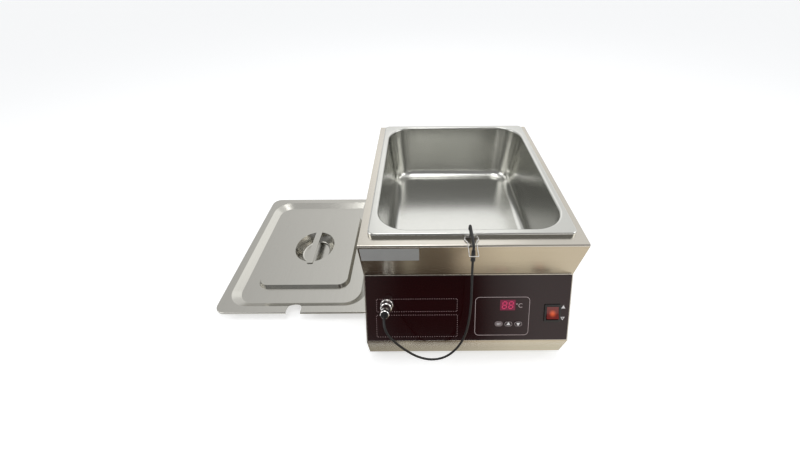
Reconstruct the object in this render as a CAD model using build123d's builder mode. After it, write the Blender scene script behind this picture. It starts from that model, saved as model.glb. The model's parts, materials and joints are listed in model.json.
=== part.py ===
from build123d import *
from math import atan2, cos, degrees, hypot, pi, radians, sin, tan
import os

# Chocolate tempering machine: a heated tank that holds a gastronorm pan, with its lid laid beside it.
# Sizes are in millimetres. X runs along the front, Y from front to back and Z up from the table.

# Casing: its margins round the pan, and the side profile of the folded front from the table up
side_margin = 10.5
front_margin = 16.0
back_margin = 9.0
sheet = 1.2
fold_r = 3.0
casing_bottom = 10.0
toe_rise = 41.0
panel_rise = 88.0
strip_rise = 63.0
brow_set_back = 11.0
nose_reach = 37.0
toe_set_back = 8.0
bottom_flange = 14.0

# Clearances
fit = 0.05
seat = 0.2
slide_gap = 0.3

# Pan: gastronorm size 1/2, 100 deep
pan_w = 265.0
pan_l = 325.0
pan_depth = 100.0
pan_wall = 0.8
pan_rim = 10.0
pan_corner = 9.0
pan_opening_corner = 42.0
pan_draft = 5.0
pan_cove = 15.0
pan_lip = 6.0
pan_lip_r = 2.5
pan_throat_r = 3.5

# Lid for the same pan, lying on the table to the left of the machine
lid_gap = 2.5
lid_y = 25.0
lid_wall = 0.8
lid_corner = 18.0
lid_flange = 14.0
lid_flange_z = 19.0
lid_edge = 3.0
lid_trough_drop = 8.0
lid_wall_run = 12.5
lid_bowl_corner = 36.0
plateau_w = 158.0
plateau_l = 202.0
plateau_corner = 16.0
plateau_rise = 7.0
plateau_run = 4.0
cup_w = 76.0
cup_l = 86.0
cup_floor_w = 54.0
cup_floor_l = 62.0
strap_w = 12.0
strap_t = 1.8
strap_foot = 5.0
strap_crown = 1.5
notch_w = 24.0
notch_depth = 20.0

# Heating tank
well_gap = 3.0
well_wall = 1.0
well_floor_gap = 3.0
flange_side_gap = 6.5
flange_end_gap = 5.0
jacket_side_gap = 5.8
jacket_end_gap = 5.3
jacket_corner = 30.0
jacket_wall = 0.8
wool_under = 20.0
element_r = 3.2
element_span = 200.0
element_pitch = 32.0
element_legs = 6
clamp_w = 12.0
clamp_t = 1.5
cutout_disc_r = 8.0
cutout_disc_h = 7.0
heater_room = 12.0

# Front panel: places are measured across from the middle and down from the upper fold
fascia_t = 1.0
fascia_side_margin = 1.6
fascia_top_margin = 1.6
fascia_bottom_margin = 2.2
display_u = 55.5
display_v = 45.0
display_w = 21.4
display_h = 15.8
module_w = 25.0
module_h = 19.0
key_us = {"set": 43.7, "up": 57.2, "down": 71.0}
key_v = 72.8
key_w = 11.4
key_h = 7.6
key_stand_out = 1.3
key_flange = 1.0
key_travel = 0.8
plunger_r = 1.7
board_depth = 11.4
board_t = 1.6
board_w = 84.0
board_h = 60.0
board_u = 50.0
board_v = 61.0
pillar_r = 2.5
pillar_inset = 5.0
switch_side = 6.0
switch_tall = 4.4

# Mains rocker switch on the panel
rocker_u = 118.0
rocker_v = 57.0
bezel_w = 23.0
bezel_h = 26.0
bezel_t = 1.8
window_w = 17.0
window_h = 20.2
rocker_body_w = 20.6
rocker_body_h = 23.6
rocker_body_depth = 18.0
rocker_axle_depth = 2.5
rocker_tilt = 10.0
rocker_axle_r = 1.2
rocker_key_w = 16.4
rocker_half = 8.6
rocker_end_rise = 6.8
rocker_mid_rise = 5.4
rocker_under = 3.0
tab_w = 4.8
tab_t = 0.8
tab_l = 9.0

# Probe connector on the panel
socket_u = -112.6
socket_v = 43.5
socket_r = 6.0
socket_flange_r = 8.6
socket_flange_t = 2.0
socket_front = 11.0
socket_back = 14.0
socket_nut_af = 16.0
socket_nut_t = 2.5
ring_r = 7.75
ring_l = 10.0
plug_r = 6.5
plug_tail_r = 5.9
plug_neck_r = 4.8
plug_l = 33.0

# Probe, its clip on the pan's rim, and its cable
probe_x = -1.8
probe_r = 1.25
sleeve_r = 1.6
boot_r = 3.0
boot_tip_r = 2.3
boot_l = 14.0
probe_lean = 14.0
probe_reach = 29.0
boot_drop = 12.0
hook_r = 6.0
probe_tip_rise = 20.0
clip_w = 14.0
clip_t = 0.6
clip_front = 6.0
clip_back = 1.5
clip_leg = 5.0
curl_r = 1.4
wire_r = 0.6
wire_bend = 1.3
lever_w = 11.0
front_lever_l = 32.0
back_lever_l = 25.0
front_lever_dip = 4.5
back_lever_lean = 20.0
cable_d = 3.0

# Rear cover, mains inlet, feet and what stands on the base plate
cover_w = 190.0
cover_h = 118.0
cover_x = -25.0
cover_z = 92.0
cover_lap = 9.0
louvre_w = 44.0
louvre_h = 3.0
louvre_pitch = 9.0
louvre_column_pitch = 55.0
louvre_rows = 9
louvre_columns = 3
base_louvre_pitch = 14.4
base_louvre_column_pitch = 61.6
base_louvre_rows = 6
inlet_x = 112.0
inlet_z = 52.0
inlet_w = 27.0
inlet_h = 19.6
inlet_depth = 18.0
inlet_flange_l = 50.0
inlet_flange_h = 22.4
inlet_flange_t = 3.0
inlet_screw_pitch = 40.0
pin_w = 4.0
pin_t = 2.0
pin_l = 14.0
pin_pitch = 14.0
base_t = 1.5
base_inset = 3.0
foot_r = 12.0
foot_inset_x = 28.0
foot_inset_front = 40.0
foot_inset_back = 26.0
post_h = 8.0
post_r = 3.0
power_w = 110.0
power_l = 90.0
power_x = -60.0
power_y = 60.0
core_w = 36.0
core_l = 22.0
core_h = 30.0
coil_w = 24.0
coil_l = 34.0
coil_h = 20.0
relay_w = 19.0
relay_l = 15.5
relay_h = 15.0
terminals_w = 50.0
terminals_l = 14.0
terminals_h = 14.0
terminal_pitch = 10.0
terminal_r = 2.5
terminal_depth = 6.0
terminal_count = 5
stud_r = 2.5
stud_h = 12.0
stud_head_r = 4.0
stud_head_h = 4.0
screw_r = 1.45
screw_head_r = 2.9
screw_head_h = 1.8
screw_l = 8.0
cover_screw_l = 6.0

# Derived sizes and places. The set of machine and lid is centred on the origin, with the table at
# Z = 0.
casing_w = pan_w + 2 * side_margin
casing_d = front_margin + pan_l + back_margin
casing_h = casing_bottom + toe_rise + panel_rise + strip_rise
pan_back_shift = (front_margin - back_margin) / 2
machine_x = (lid_gap + pan_w) / 2
lid_x = -(casing_w + lid_gap) / 2
machine_y = (casing_d / 2 + nose_reach - lid_y - pan_l / 2) / 2
front_y = -casing_d / 2
brow = (front_y + brow_set_back, casing_h - strip_rise)
nose = (front_y - nose_reach, casing_bottom + toe_rise)
toe = (nose[0] + toe_set_back, casing_bottom)
heel = (casing_d / 2, casing_bottom)
panel_lean = atan2(brow[0] - nose[0], brow[1] - nose[1])
panel_length = hypot(brow[0] - nose[0], brow[1] - nose[1])
pan_top = casing_h + pan_lip
pan_floor = pan_top - pan_depth
opening_w = pan_w - 2 * pan_rim
opening_l = pan_l - 2 * pan_rim
well_w = opening_w + 2 * (pan_wall + well_gap)
well_l = opening_l + 2 * (pan_wall + well_gap)
well_corner = pan_opening_corner + pan_wall + well_gap
well_floor = pan_floor - well_floor_gap
well_depth = casing_h - sheet - well_floor
element_z = well_floor - well_wall - seat - element_r
flange_w = casing_w - 2 * (sheet + flange_side_gap)
flange_l = casing_d - 2 * (pan_back_shift + sheet + flange_end_gap)
jacket_w = casing_w - 2 * (sheet + jacket_side_gap)
jacket_l = casing_d - 2 * (pan_back_shift + sheet + jacket_end_gap)
jacket_floor_z = well_floor - well_wall - heater_room - wool_under


def level(z, x=0.0, y=0.0):
    """A horizontal plane at height z, with its origin x, y from the machine's centre line."""
    return Plane((machine_x + x, machine_y + y, z))


def section(x=0.0):
    """An upright plane along the machine at x, whose axes are Y and Z."""
    return Plane(origin=(machine_x + x, machine_y, 0), x_dir=(0, 1, 0), z_dir=(1, 0, 0))


def panel(u=0.0, v=0.0, out=0.0):
    """A plane on the sloping front panel: u across, v down from the upper fold, out of its face."""
    up = (sin(panel_lean), cos(panel_lean))
    facing = (-cos(panel_lean), sin(panel_lean))
    origin = (
        machine_x + u,
        machine_y + brow[0] - v * up[0] + out * facing[0],
        brow[1] - v * up[1] + out * facing[1],
    )
    return Plane(origin=origin, x_dir=(1, 0, 0), z_dir=(0, facing[0], facing[1]))


def rear(x=0.0, z=0.0, out=0.0):
    """A plane on the rear wall, seen from behind."""
    origin = (machine_x + x, machine_y + casing_d / 2 + out, z)
    return Plane(origin=origin, x_dir=(-1, 0, 0), z_dir=(0, 1, 0))


def lid_level(z):
    return Plane((lid_x, machine_y + lid_y, z))


def frustum(low, high, low_size, high_size, low_corner, high_corner):
    """A tapered block with rounded corners between two planes."""
    with BuildPart() as form:
        with BuildSketch(low):
            RectangleRounded(*low_size, low_corner)
        with BuildSketch(high):
            RectangleRounded(*high_size, high_corner)
        loft(ruled=True)
    return form.part


def tub(width, length, corner, depth, cove, top):
    """A drafted tub below height top, with a coved floor, centred on the pan."""
    draft = depth * tan(radians(pan_draft))
    low = level(top - depth, 0, pan_back_shift)
    high = level(top, 0, pan_back_shift)
    small = (width - 2 * draft, length - 2 * draft)
    with BuildPart() as form:
        add(frustum(low, high, small, (width, length), corner - draft, corner))
        fillet(form.faces().sort_by(Axis.Z)[0].edges(), cove)
    return form.part


def finish(builder, name):
    builder.part.label = name
    export_step(builder.part, f"parts/{name}.step")


os.makedirs("parts", exist_ok=True)

# Casing: one folded and welded shell with the console front, a return flange under it, the hole for
# the tank in its top, the holes of the front panel and the opening behind the rear cover.
with BuildPart() as casing:
    with BuildSketch(section(-casing_w / 2)) as side:
        with BuildLine():
            Polyline((front_y, casing_h), brow, nose, toe, heel, (heel[0], casing_h), close=True)
        make_face()
        fillet(side.vertices(), fold_r)
    extrude(amount=casing_w)
    with BuildSketch(section(-casing_w / 2 + sheet)):
        add(side.sketch_local)
        offset(amount=-sheet, mode=Mode.REPLACE)
    extrude(amount=casing_w - 2 * sheet, mode=Mode.SUBTRACT)
    with BuildSketch(level(casing_h, 0, pan_back_shift)):
        RectangleRounded(well_w, well_l, well_corner)
    extrude(amount=-2 * sheet, mode=Mode.SUBTRACT)
    with BuildSketch(level(casing_bottom, 0, (toe[0] + heel[0]) / 2)):
        Rectangle(casing_w - 2 * bottom_flange, heel[0] - toe[0] - 2 * bottom_flange)
    extrude(amount=2 * sheet, mode=Mode.SUBTRACT)
    with BuildSketch(panel(0, 0, sheet)):
        with Locations((socket_u, -socket_v)):
            Circle(socket_r + fit)
        with Locations((display_u, -display_v)):
            Rectangle(display_w, display_h)
        with Locations([(u, -key_v) for u in key_us.values()]):
            SlotOverall(key_w + 2 * slide_gap, key_h + 2 * slide_gap)
        with Locations((rocker_u, -rocker_v)):
            Rectangle(rocker_body_w + 2 * seat, rocker_body_h + 2 * seat)
    extrude(amount=-3 * sheet, mode=Mode.SUBTRACT)
    with BuildSketch(rear(cover_x, cover_z)):
        RectangleRounded(cover_w - 2 * cover_lap, cover_h - 2 * cover_lap, fold_r)
    with BuildSketch(rear(inlet_x, inlet_z)):
        Rectangle(inlet_w + 2 * seat, inlet_h + 2 * seat)
    extrude(amount=-2 * sheet, mode=Mode.SUBTRACT)
    with BuildSketch(rear(inlet_x, inlet_z)):
        with GridLocations(inlet_screw_pitch, 0, 2, 1):
            Circle(screw_r + fit)
    extrude(amount=-2 * sheet, mode=Mode.SUBTRACT)
    with BuildSketch(rear(cover_x, cover_z)):
        with GridLocations((cover_w - cover_lap) / 2, cover_h - cover_lap, 3, 2):
            Circle(screw_r + fit)
    extrude(amount=-2 * sheet, mode=Mode.SUBTRACT)
    base_screw_x = casing_w / 2 - bottom_flange / 2
    base_screw_y = (heel[0] - toe[0] - bottom_flange) / 2
    with BuildSketch(level(casing_bottom, 0, (toe[0] + heel[0]) / 2)):
        with GridLocations(base_screw_x, 2 * base_screw_y, 3, 2):
            Circle(screw_r + fit)
    extrude(amount=2 * sheet, mode=Mode.SUBTRACT)
finish(casing, "casing")

# Base plate under the return flange, with vent slots and the holes of the feet and screws
base_l = heel[0] - toe[0] - 2 * base_inset
base_w = casing_w - 2 * base_inset
base_y = (toe[0] + heel[0]) / 2
base_z = casing_bottom - base_t
foot_places = [
    (side_x * (casing_w / 2 - foot_inset_x), y)
    for side_x in (-1, 1)
    for y in (toe[0] + foot_inset_front, heel[0] - foot_inset_back)
]
with BuildPart() as base_plate:
    with BuildSketch(level(base_z, 0, base_y)):
        RectangleRounded(base_w, base_l, fold_r)
        with GridLocations(base_screw_x, 2 * base_screw_y, 3, 2):
            Circle(screw_r + fit, mode=Mode.SUBTRACT)
        with GridLocations(
            base_louvre_column_pitch, base_louvre_pitch, louvre_columns, base_louvre_rows
        ):
            SlotOverall(louvre_w, louvre_h, mode=Mode.SUBTRACT)
    extrude(amount=base_t)
    with BuildSketch(level(base_z)):
        with Locations(foot_places):
            Circle(screw_r + fit)
    extrude(amount=base_t, mode=Mode.SUBTRACT)
finish(base_plate, "base_plate")

with BuildPart() as base_screws:
    with BuildSketch(level(base_z, 0, base_y)):
        with GridLocations(base_screw_x, 2 * base_screw_y, 3, 2):
            Circle(screw_head_r)
    extrude(amount=-screw_head_h)
    fillet(base_screws.faces().filter_by(Axis.Z).group_by(Axis.Z)[0].edges(), screw_head_h / 2)
    with BuildSketch(level(base_z, 0, base_y)):
        with GridLocations(base_screw_x, 2 * base_screw_y, 3, 2):
            Circle(screw_r)
    extrude(amount=screw_l)
finish(base_screws, "base_screws")

# Rubber feet, each round its own screw, with the nuts inside on the base plate
foot_head = 3.0
foot_names = ["foot_front_left", "foot_rear_left", "foot_front_right", "foot_rear_right"]
for foot_name, (foot_x, foot_y) in zip(foot_names, foot_places):
    with BuildPart() as foot:
        with BuildSketch(section(foot_x)):
            with BuildLine():
                Polyline(
                    (foot_y, 0),
                    (foot_y + foot_r - 2, 0),
                    (foot_y + foot_r, base_z),
                    (foot_y, base_z),
                    close=True,
                )
            make_face()
        revolve(axis=Axis((machine_x + foot_x, machine_y + foot_y, 0), (0, 0, 1)))
        with BuildSketch(level(0, foot_x, foot_y)):
            Circle(screw_head_r + 1)
        extrude(amount=foot_head, mode=Mode.SUBTRACT)
        with BuildSketch(level(0, foot_x, foot_y)):
            Circle(screw_r + fit)
        extrude(amount=base_z, mode=Mode.SUBTRACT)
        fillet(foot.edges().group_by(Axis.Z)[0].sort_by(SortBy.RADIUS)[-1], 1)
    finish(foot, foot_name)

foot_nut_t = 2.4
with BuildPart() as foot_screws:
    with BuildSketch(level(foot_head)):
        with Locations(foot_places):
            Circle(screw_head_r)
    extrude(amount=-screw_head_h)
    with BuildSketch(level(foot_head)):
        with Locations(foot_places):
            Circle(screw_r)
    extrude(amount=casing_bottom + foot_nut_t + 1 - foot_head)
finish(foot_screws, "foot_screws")

with BuildPart() as foot_nuts:
    with BuildSketch(level(casing_bottom)):
        with Locations(foot_places):
            RegularPolygon(screw_head_r, 6, major_radius=False)
            Circle(screw_r + fit, mode=Mode.SUBTRACT)
    extrude(amount=foot_nut_t)
finish(foot_nuts, "foot_nuts")

# Rear cover over the service opening, with rows of vent slots
with BuildPart() as rear_cover:
    with BuildSketch(rear(cover_x, cover_z)):
        RectangleRounded(cover_w, cover_h, fold_r)
        with GridLocations((cover_w - cover_lap) / 2, cover_h - cover_lap, 3, 2):
            Circle(screw_r + fit, mode=Mode.SUBTRACT)
        with GridLocations(louvre_column_pitch, louvre_pitch, louvre_columns, louvre_rows):
            SlotOverall(louvre_w, louvre_h, mode=Mode.SUBTRACT)
    extrude(amount=sheet)
    fillet(rear_cover.faces().sort_by(Axis.Y)[-1].outer_wire().edges(), sheet / 2)
finish(rear_cover, "rear_cover")

with BuildPart() as cover_screws:
    with BuildSketch(rear(cover_x, cover_z, sheet)):
        with GridLocations((cover_w - cover_lap) / 2, cover_h - cover_lap, 3, 2):
            Circle(screw_head_r)
    extrude(amount=screw_head_h)
    fillet(cover_screws.faces().group_by(Axis.Y)[-1].edges(), screw_head_h / 2)
    with BuildSketch(rear(cover_x, cover_z, sheet)):
        with GridLocations((cover_w - cover_lap) / 2, cover_h - cover_lap, 3, 2):
            Circle(screw_r)
    extrude(amount=-cover_screw_l)
finish(cover_screws, "cover_screws")

# Mains inlet: a three-pin appliance socket with two screws
with BuildPart() as mains_inlet:
    with BuildSketch(rear(inlet_x, inlet_z)):
        RectangleRounded(inlet_flange_l, inlet_flange_h, 4)
    extrude(amount=inlet_flange_t)
    with BuildSketch(rear(inlet_x, inlet_z)):
        Rectangle(inlet_w, inlet_h)
    extrude(amount=-inlet_depth)
    with BuildSketch(rear(inlet_x, inlet_z, inlet_flange_t)) as mouth:
        Rectangle(inlet_w - 3, inlet_h - 3)
        chamfer(mouth.vertices().group_by(Axis.Y)[-1], 4)
    extrude(amount=-(pin_l + inlet_flange_t), mode=Mode.SUBTRACT)
    with BuildSketch(rear(inlet_x, inlet_z)):
        with GridLocations(inlet_screw_pitch, 0, 2, 1):
            Circle(screw_r + fit)
    extrude(amount=inlet_flange_t, mode=Mode.SUBTRACT)
finish(mains_inlet, "mains_inlet")

with BuildPart() as inlet_pins:
    with BuildSketch(rear(inlet_x, inlet_z, -pin_l)):
        with Locations((-pin_pitch / 2, -2), (pin_pitch / 2, -2), (0, 2)):
            Rectangle(pin_t, pin_w)
    extrude(amount=pin_l - 2)
finish(inlet_pins, "inlet_pins")

with BuildPart() as inlet_screws:
    with BuildSketch(rear(inlet_x, inlet_z, inlet_flange_t)):
        with GridLocations(inlet_screw_pitch, 0, 2, 1):
            Circle(screw_head_r)
    extrude(amount=screw_head_h)
    with BuildSketch(rear(inlet_x, inlet_z, inlet_flange_t)):
        with GridLocations(inlet_screw_pitch, 0, 2, 1):
            Circle(screw_r)
    extrude(amount=-screw_l)
finish(inlet_screws, "inlet_screws")

# Heating tank: a drafted well under the top plate, hung by its flange
well_outer = tub(
    well_w + 2 * well_wall,
    well_l + 2 * well_wall,
    well_corner + well_wall,
    well_depth + well_wall,
    pan_cove + well_gap + well_wall,
    casing_h - sheet,
)
well_inner = tub(well_w, well_l, well_corner, well_depth, pan_cove + well_gap, casing_h - sheet)
with BuildPart() as heating_well:
    with BuildSketch(level(casing_h - sheet, 0, pan_back_shift)):
        RectangleRounded(flange_w, flange_l, jacket_corner)
    extrude(amount=-well_wall)
    add(well_outer)
    add(well_inner, mode=Mode.SUBTRACT)
finish(heating_well, "heating_well")

# Jacket round the tank, and the mineral wool between the two
jacket_top = casing_h - sheet - well_wall
with BuildPart() as tank_jacket:
    with BuildSketch(level(jacket_floor_z, 0, pan_back_shift)):
        RectangleRounded(jacket_w, jacket_l, jacket_corner)
    extrude(amount=jacket_top - jacket_floor_z)
    fillet(tank_jacket.faces().sort_by(Axis.Z)[0].edges(), fold_r)
    with BuildSketch(level(jacket_floor_z + jacket_wall, 0, pan_back_shift)):
        RectangleRounded(
            jacket_w - 2 * jacket_wall, jacket_l - 2 * jacket_wall, jacket_corner - jacket_wall
        )
    extrude(amount=jacket_top - jacket_floor_z, mode=Mode.SUBTRACT)
finish(tank_jacket, "tank_jacket")

wool_inset = jacket_wall + seat
room_w = element_span + 4 * element_r
room_l = element_pitch * element_legs
with BuildPart() as insulation:
    with BuildSketch(level(jacket_floor_z + wool_inset, 0, pan_back_shift)):
        RectangleRounded(
            jacket_w - 2 * wool_inset, jacket_l - 2 * wool_inset, jacket_corner - wool_inset
        )
    extrude(amount=jacket_top - jacket_floor_z - 2 * wool_inset)
    add(
        tub(
            well_w + 2 * (well_wall + seat),
            well_l + 2 * (well_wall + seat),
            well_corner + well_wall + seat,
            well_depth + well_wall + seat,
            pan_cove + well_gap + well_wall,
            casing_h - sheet,
        ),
        mode=Mode.SUBTRACT,
    )
    with BuildSketch(level(well_floor, 0, pan_back_shift)):
        RectangleRounded(room_w, room_l, jacket_corner / 3)
    extrude(amount=-well_wall - heater_room, mode=Mode.SUBTRACT)
finish(insulation, "insulation")

# Tubular heating element under the well: one rod bent to and fro, with both ends at the rear
element_points = []
for leg in range(element_legs):
    leg_y = (leg - (element_legs - 1) / 2) * element_pitch
    ends = (-element_span / 2, element_span / 2)
    for end_x in ends if leg % 2 == 0 else ends[::-1]:
        element_points.append((end_x, leg_y))
with BuildPart() as heating_element:
    with BuildLine(level(element_z, 0, pan_back_shift)) as element_path:
        FilletPolyline(*element_points, radius=element_pitch / 2 - seat)
    with BuildSketch(Plane(element_path.line @ 0, z_dir=element_path.line % 0)):
        Circle(element_r)
    sweep()
finish(heating_element, "heating_element")

# Two bridge straps, spot-welded to the well, that carry the element
clamp_drop = 2 * (element_r + seat)
with BuildPart() as element_clamps:
    with BuildSketch(
        Plane(
            origin=(machine_x, machine_y + pan_back_shift, well_floor - well_wall),
            x_dir=(0, 1, 0),
            z_dir=(1, 0, 0),
        )
    ):
        with BuildLine():
            reach = room_l / 2 - 4
            Polyline(
                (-reach, 0),
                (-reach + 8, 0),
                (-reach + 8, -clamp_drop),
                (reach - 8, -clamp_drop),
                (reach - 8, 0),
                (reach, 0),
                (reach, -clamp_t),
                (reach - 8 + clamp_t, -clamp_t),
                (reach - 8 + clamp_t, -clamp_drop - clamp_t),
                (-reach + 8 - clamp_t, -clamp_drop - clamp_t),
                (-reach + 8 - clamp_t, -clamp_t),
                (-reach, -clamp_t),
                close=True,
            )
        make_face()
    strap_bar = extrude(amount=clamp_w / 2, both=True, mode=Mode.PRIVATE)
    with Locations((-element_span / 4, 0, 0), (element_span / 4, 0, 0)):
        add(strap_bar)
finish(element_clamps, "element_clamps")

# Bimetal thermal cut-out pressed on the middle of the well's floor
with BuildPart() as thermal_cutout:
    with BuildSketch(level(well_floor - well_wall - seat, 0, pan_back_shift)):
        Circle(cutout_disc_r)
    extrude(amount=-cutout_disc_h)
    fillet(thermal_cutout.edges().group_by(Axis.Z)[0], 1)
    with BuildSketch(level(well_floor - well_wall - seat - cutout_disc_h, 0, pan_back_shift)):
        with GridLocations(cutout_disc_r, 0, 2, 1):
            Rectangle(tab_t, tab_w)
    extrude(amount=-heater_room / 4)
finish(thermal_cutout, "thermal_cutout")

# Pan with a rolled throat and a turned-down edge
pan_outer = tub(
    opening_w + 2 * pan_wall,
    opening_l + 2 * pan_wall,
    pan_opening_corner + pan_wall,
    pan_depth,
    pan_cove + pan_wall,
    pan_top,
)
pan_inner = tub(
    opening_w, opening_l, pan_opening_corner, pan_depth - pan_wall, pan_cove, pan_top
)
with BuildPart() as pan:
    with BuildSketch(level(pan_top, 0, pan_back_shift)):
        RectangleRounded(pan_w, pan_l, pan_corner)
    extrude(amount=-pan_lip)
    fillet(pan.faces().sort_by(Axis.Z)[-1].edges(), pan_lip_r)
    with BuildSketch(level(pan_top - pan_wall, 0, pan_back_shift)) as under_rim:
        RectangleRounded(pan_w - 2 * pan_wall, pan_l - 2 * pan_wall, pan_corner - pan_wall)
    extrude(amount=-pan_lip, mode=Mode.SUBTRACT)
    add(pan_outer)
    throat = pan.edges().filter_by_position(
        Axis.Z, pan_top - pan_wall - 0.01, pan_top - pan_wall + 0.01
    )
    throat = throat.filter_by(
        lambda e: abs(e.center().X - machine_x) < opening_w / 2 + 3
        and abs(e.center().Y - machine_y - pan_back_shift) < opening_l / 2 + 3
    )
    fillet(throat, pan_throat_r - pan_wall)
    add(pan_inner, mode=Mode.SUBTRACT)
    mouth_edges = pan.faces().sort_by(Axis.Z)[-1].inner_wires()[0].edges()
    fillet(mouth_edges, pan_throat_r)
finish(pan, "pan")

# Lid: a flat flange, a bowl that drops into the pan's mouth, a raised middle and a handle cup
lid_trough_z = lid_flange_z - lid_trough_drop
plateau_z = lid_trough_z + plateau_rise
bowl_w = pan_w - 2 * lid_flange
bowl_l = pan_l - 2 * lid_flange


def bowl(grow, drop):
    low = (bowl_w - 2 * lid_wall_run + 2 * grow, bowl_l - 2 * lid_wall_run + 2 * grow)
    high = (bowl_w + 2 * grow, bowl_l + 2 * grow)
    corner = lid_bowl_corner + grow
    return frustum(
        lid_level(lid_trough_z - drop), lid_level(lid_flange_z), low, high, corner - 8, corner
    )


def plateau(shrink, drop):
    high = (plateau_w - 2 * shrink, plateau_l - 2 * shrink)
    low = (high[0] + 2 * plateau_run, high[1] + 2 * plateau_run)
    corner = plateau_corner - shrink
    return frustum(
        lid_level(lid_trough_z - drop),
        lid_level(plateau_z - drop),
        low,
        high,
        corner + plateau_run,
        corner,
    )


def cup(grow, floor_z):
    with BuildPart() as form:
        with BuildSketch(lid_level(floor_z)):
            Ellipse(cup_floor_w / 2 + grow, cup_floor_l / 2 + grow)
        with BuildSketch(lid_level(plateau_z)):
            Ellipse(cup_w / 2 + grow, cup_l / 2 + grow)
        loft(ruled=True)
        fillet(form.faces().sort_by(Axis.Z)[0].edges(), 5 + grow)
    return form.part


lid_parts = {
    "bowl": bowl(lid_wall, lid_wall),
    "bowl_inside": bowl(0, 0),
    "plateau": plateau(0, 0),
    "plateau_inside": plateau(lid_wall, lid_wall),
    "cup": cup(lid_wall, 0),
    "cup_inside": cup(0, lid_wall),
}
with BuildPart() as lid:
    with BuildSketch(lid_level(lid_flange_z)):
        RectangleRounded(pan_w, pan_l, lid_corner)
    extrude(amount=-lid_edge)
    fillet(lid.faces().sort_by(Axis.Z)[-1].edges(), lid_edge / 2)
    with BuildSketch(lid_level(lid_flange_z - lid_wall)):
        RectangleRounded(pan_w - 2 * lid_wall, pan_l - 2 * lid_wall, lid_corner - lid_wall)
    extrude(amount=-lid_edge, mode=Mode.SUBTRACT)
    add(lid_parts["bowl"])
    add(lid_parts["bowl_inside"], mode=Mode.SUBTRACT)
    add(lid_parts["plateau"])
    add(lid_parts["plateau_inside"], mode=Mode.SUBTRACT)
    add(lid_parts["cup"])
    add(lid_parts["cup_inside"], mode=Mode.SUBTRACT)
    with BuildSketch(lid_level(0)):
        with Locations((0, -pan_l / 2 + notch_depth - notch_w / 2)):
            Circle(notch_w / 2)
        with Locations((0, -pan_l / 2 + (notch_depth - notch_w / 2) / 2 - 1)):
            Rectangle(notch_w, notch_depth - notch_w / 2 + 2)
    extrude(amount=lid_flange_z + 1, mode=Mode.SUBTRACT)
finish(lid, "lid")

# Strap handle welded across the cup
with BuildPart() as lid_handle:
    lid_section = Plane(
        origin=(lid_x, machine_y + lid_y, plateau_z), x_dir=(0, 1, 0), z_dir=(1, 0, 0)
    )
    half = cup_l / 2
    with BuildSketch(lid_section):
        with BuildLine():
            Line((-half - strap_foot, 0), (-half - 1, 0))
            ThreePointArc((-half - 1, 0), (0, strap_crown), (half + 1, 0))
            Line((half + 1, 0), (half + strap_foot, 0))
            Line((half + strap_foot, 0), (half + strap_foot, strap_t))
            ThreePointArc(
                (half + strap_foot, strap_t), (0, strap_crown + strap_t), (-half - strap_foot, strap_t)
            )
            Line((-half - strap_foot, strap_t), (-half - strap_foot, 0))
        make_face()
    extrude(amount=strap_w / 2, both=True)
    fillet(lid_handle.edges().filter_by(Axis.Z), strap_t)
finish(lid_handle, "lid_handle")

# Fascia: the dark sheet that covers the sloping panel from fold to fold
fascia_h = panel_length - fascia_top_margin - fascia_bottom_margin
with BuildPart() as fascia:
    with BuildSketch(panel()):
        with Locations((0, -fascia_top_margin - fascia_h / 2)):
            RectangleRounded(casing_w - 2 * fascia_side_margin, fascia_h, 1)
        with Locations((socket_u, -socket_v)):
            Circle(socket_r + fit, mode=Mode.SUBTRACT)
        with Locations((display_u, -display_v)):
            Rectangle(display_w, display_h, mode=Mode.SUBTRACT)
        with Locations([(u, -key_v) for u in key_us.values()]):
            SlotOverall(key_w + 2 * slide_gap, key_h + 2 * slide_gap, mode=Mode.SUBTRACT)
        with Locations((rocker_u, -rocker_v)):
            Rectangle(rocker_body_w + 2 * seat, rocker_body_h + 2 * seat, mode=Mode.SUBTRACT)
    extrude(amount=fascia_t)
finish(fascia, "fascia")

# Display: a tinted lens let into the fascia, and the digit module behind it on the board
with BuildPart() as display_lens:
    with BuildSketch(panel(display_u, display_v, fascia_t)):
        Rectangle(display_w - 2 * seat, display_h - 2 * seat)
    extrude(amount=-fascia_t - sheet)
finish(display_lens, "display_lens")

with BuildPart() as display_module:
    with BuildSketch(panel(display_u, display_v, -sheet)):
        Rectangle(module_w, module_h)
    extrude(amount=-(board_depth - sheet))
finish(display_module, "display_module")

# Control board on four pillars behind the panel, with a tact switch under each key
pillar_pitch = (board_w - 2 * pillar_inset, board_h - 2 * pillar_inset)
with BuildPart() as control_board:
    with BuildSketch(panel(board_u, board_v, -board_depth)):
        RectangleRounded(board_w, board_h, 2)
        with GridLocations(*pillar_pitch, 2, 2):
            Circle(screw_r + fit, mode=Mode.SUBTRACT)
    extrude(amount=-board_t)
finish(control_board, "control_board")

with BuildPart() as board_pillars:
    with BuildSketch(panel(board_u, board_v, -sheet)):
        with GridLocations(*pillar_pitch, 2, 2):
            Circle(pillar_r)
    extrude(amount=-(board_depth - sheet))
    with BuildSketch(panel(board_u, board_v, -board_depth)):
        with GridLocations(*pillar_pitch, 2, 2):
            Circle(screw_r)
    extrude(amount=-board_t - foot_nut_t - 1)
finish(board_pillars, "board_pillars")

with BuildPart() as board_nuts:
    with BuildSketch(panel(board_u, board_v, -board_depth - board_t)):
        with GridLocations(*pillar_pitch, 2, 2):
            RegularPolygon(screw_head_r, 6, major_radius=False)
            Circle(screw_r + fit, mode=Mode.SUBTRACT)
    extrude(amount=-foot_nut_t)
finish(board_nuts, "board_nuts")

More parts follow.
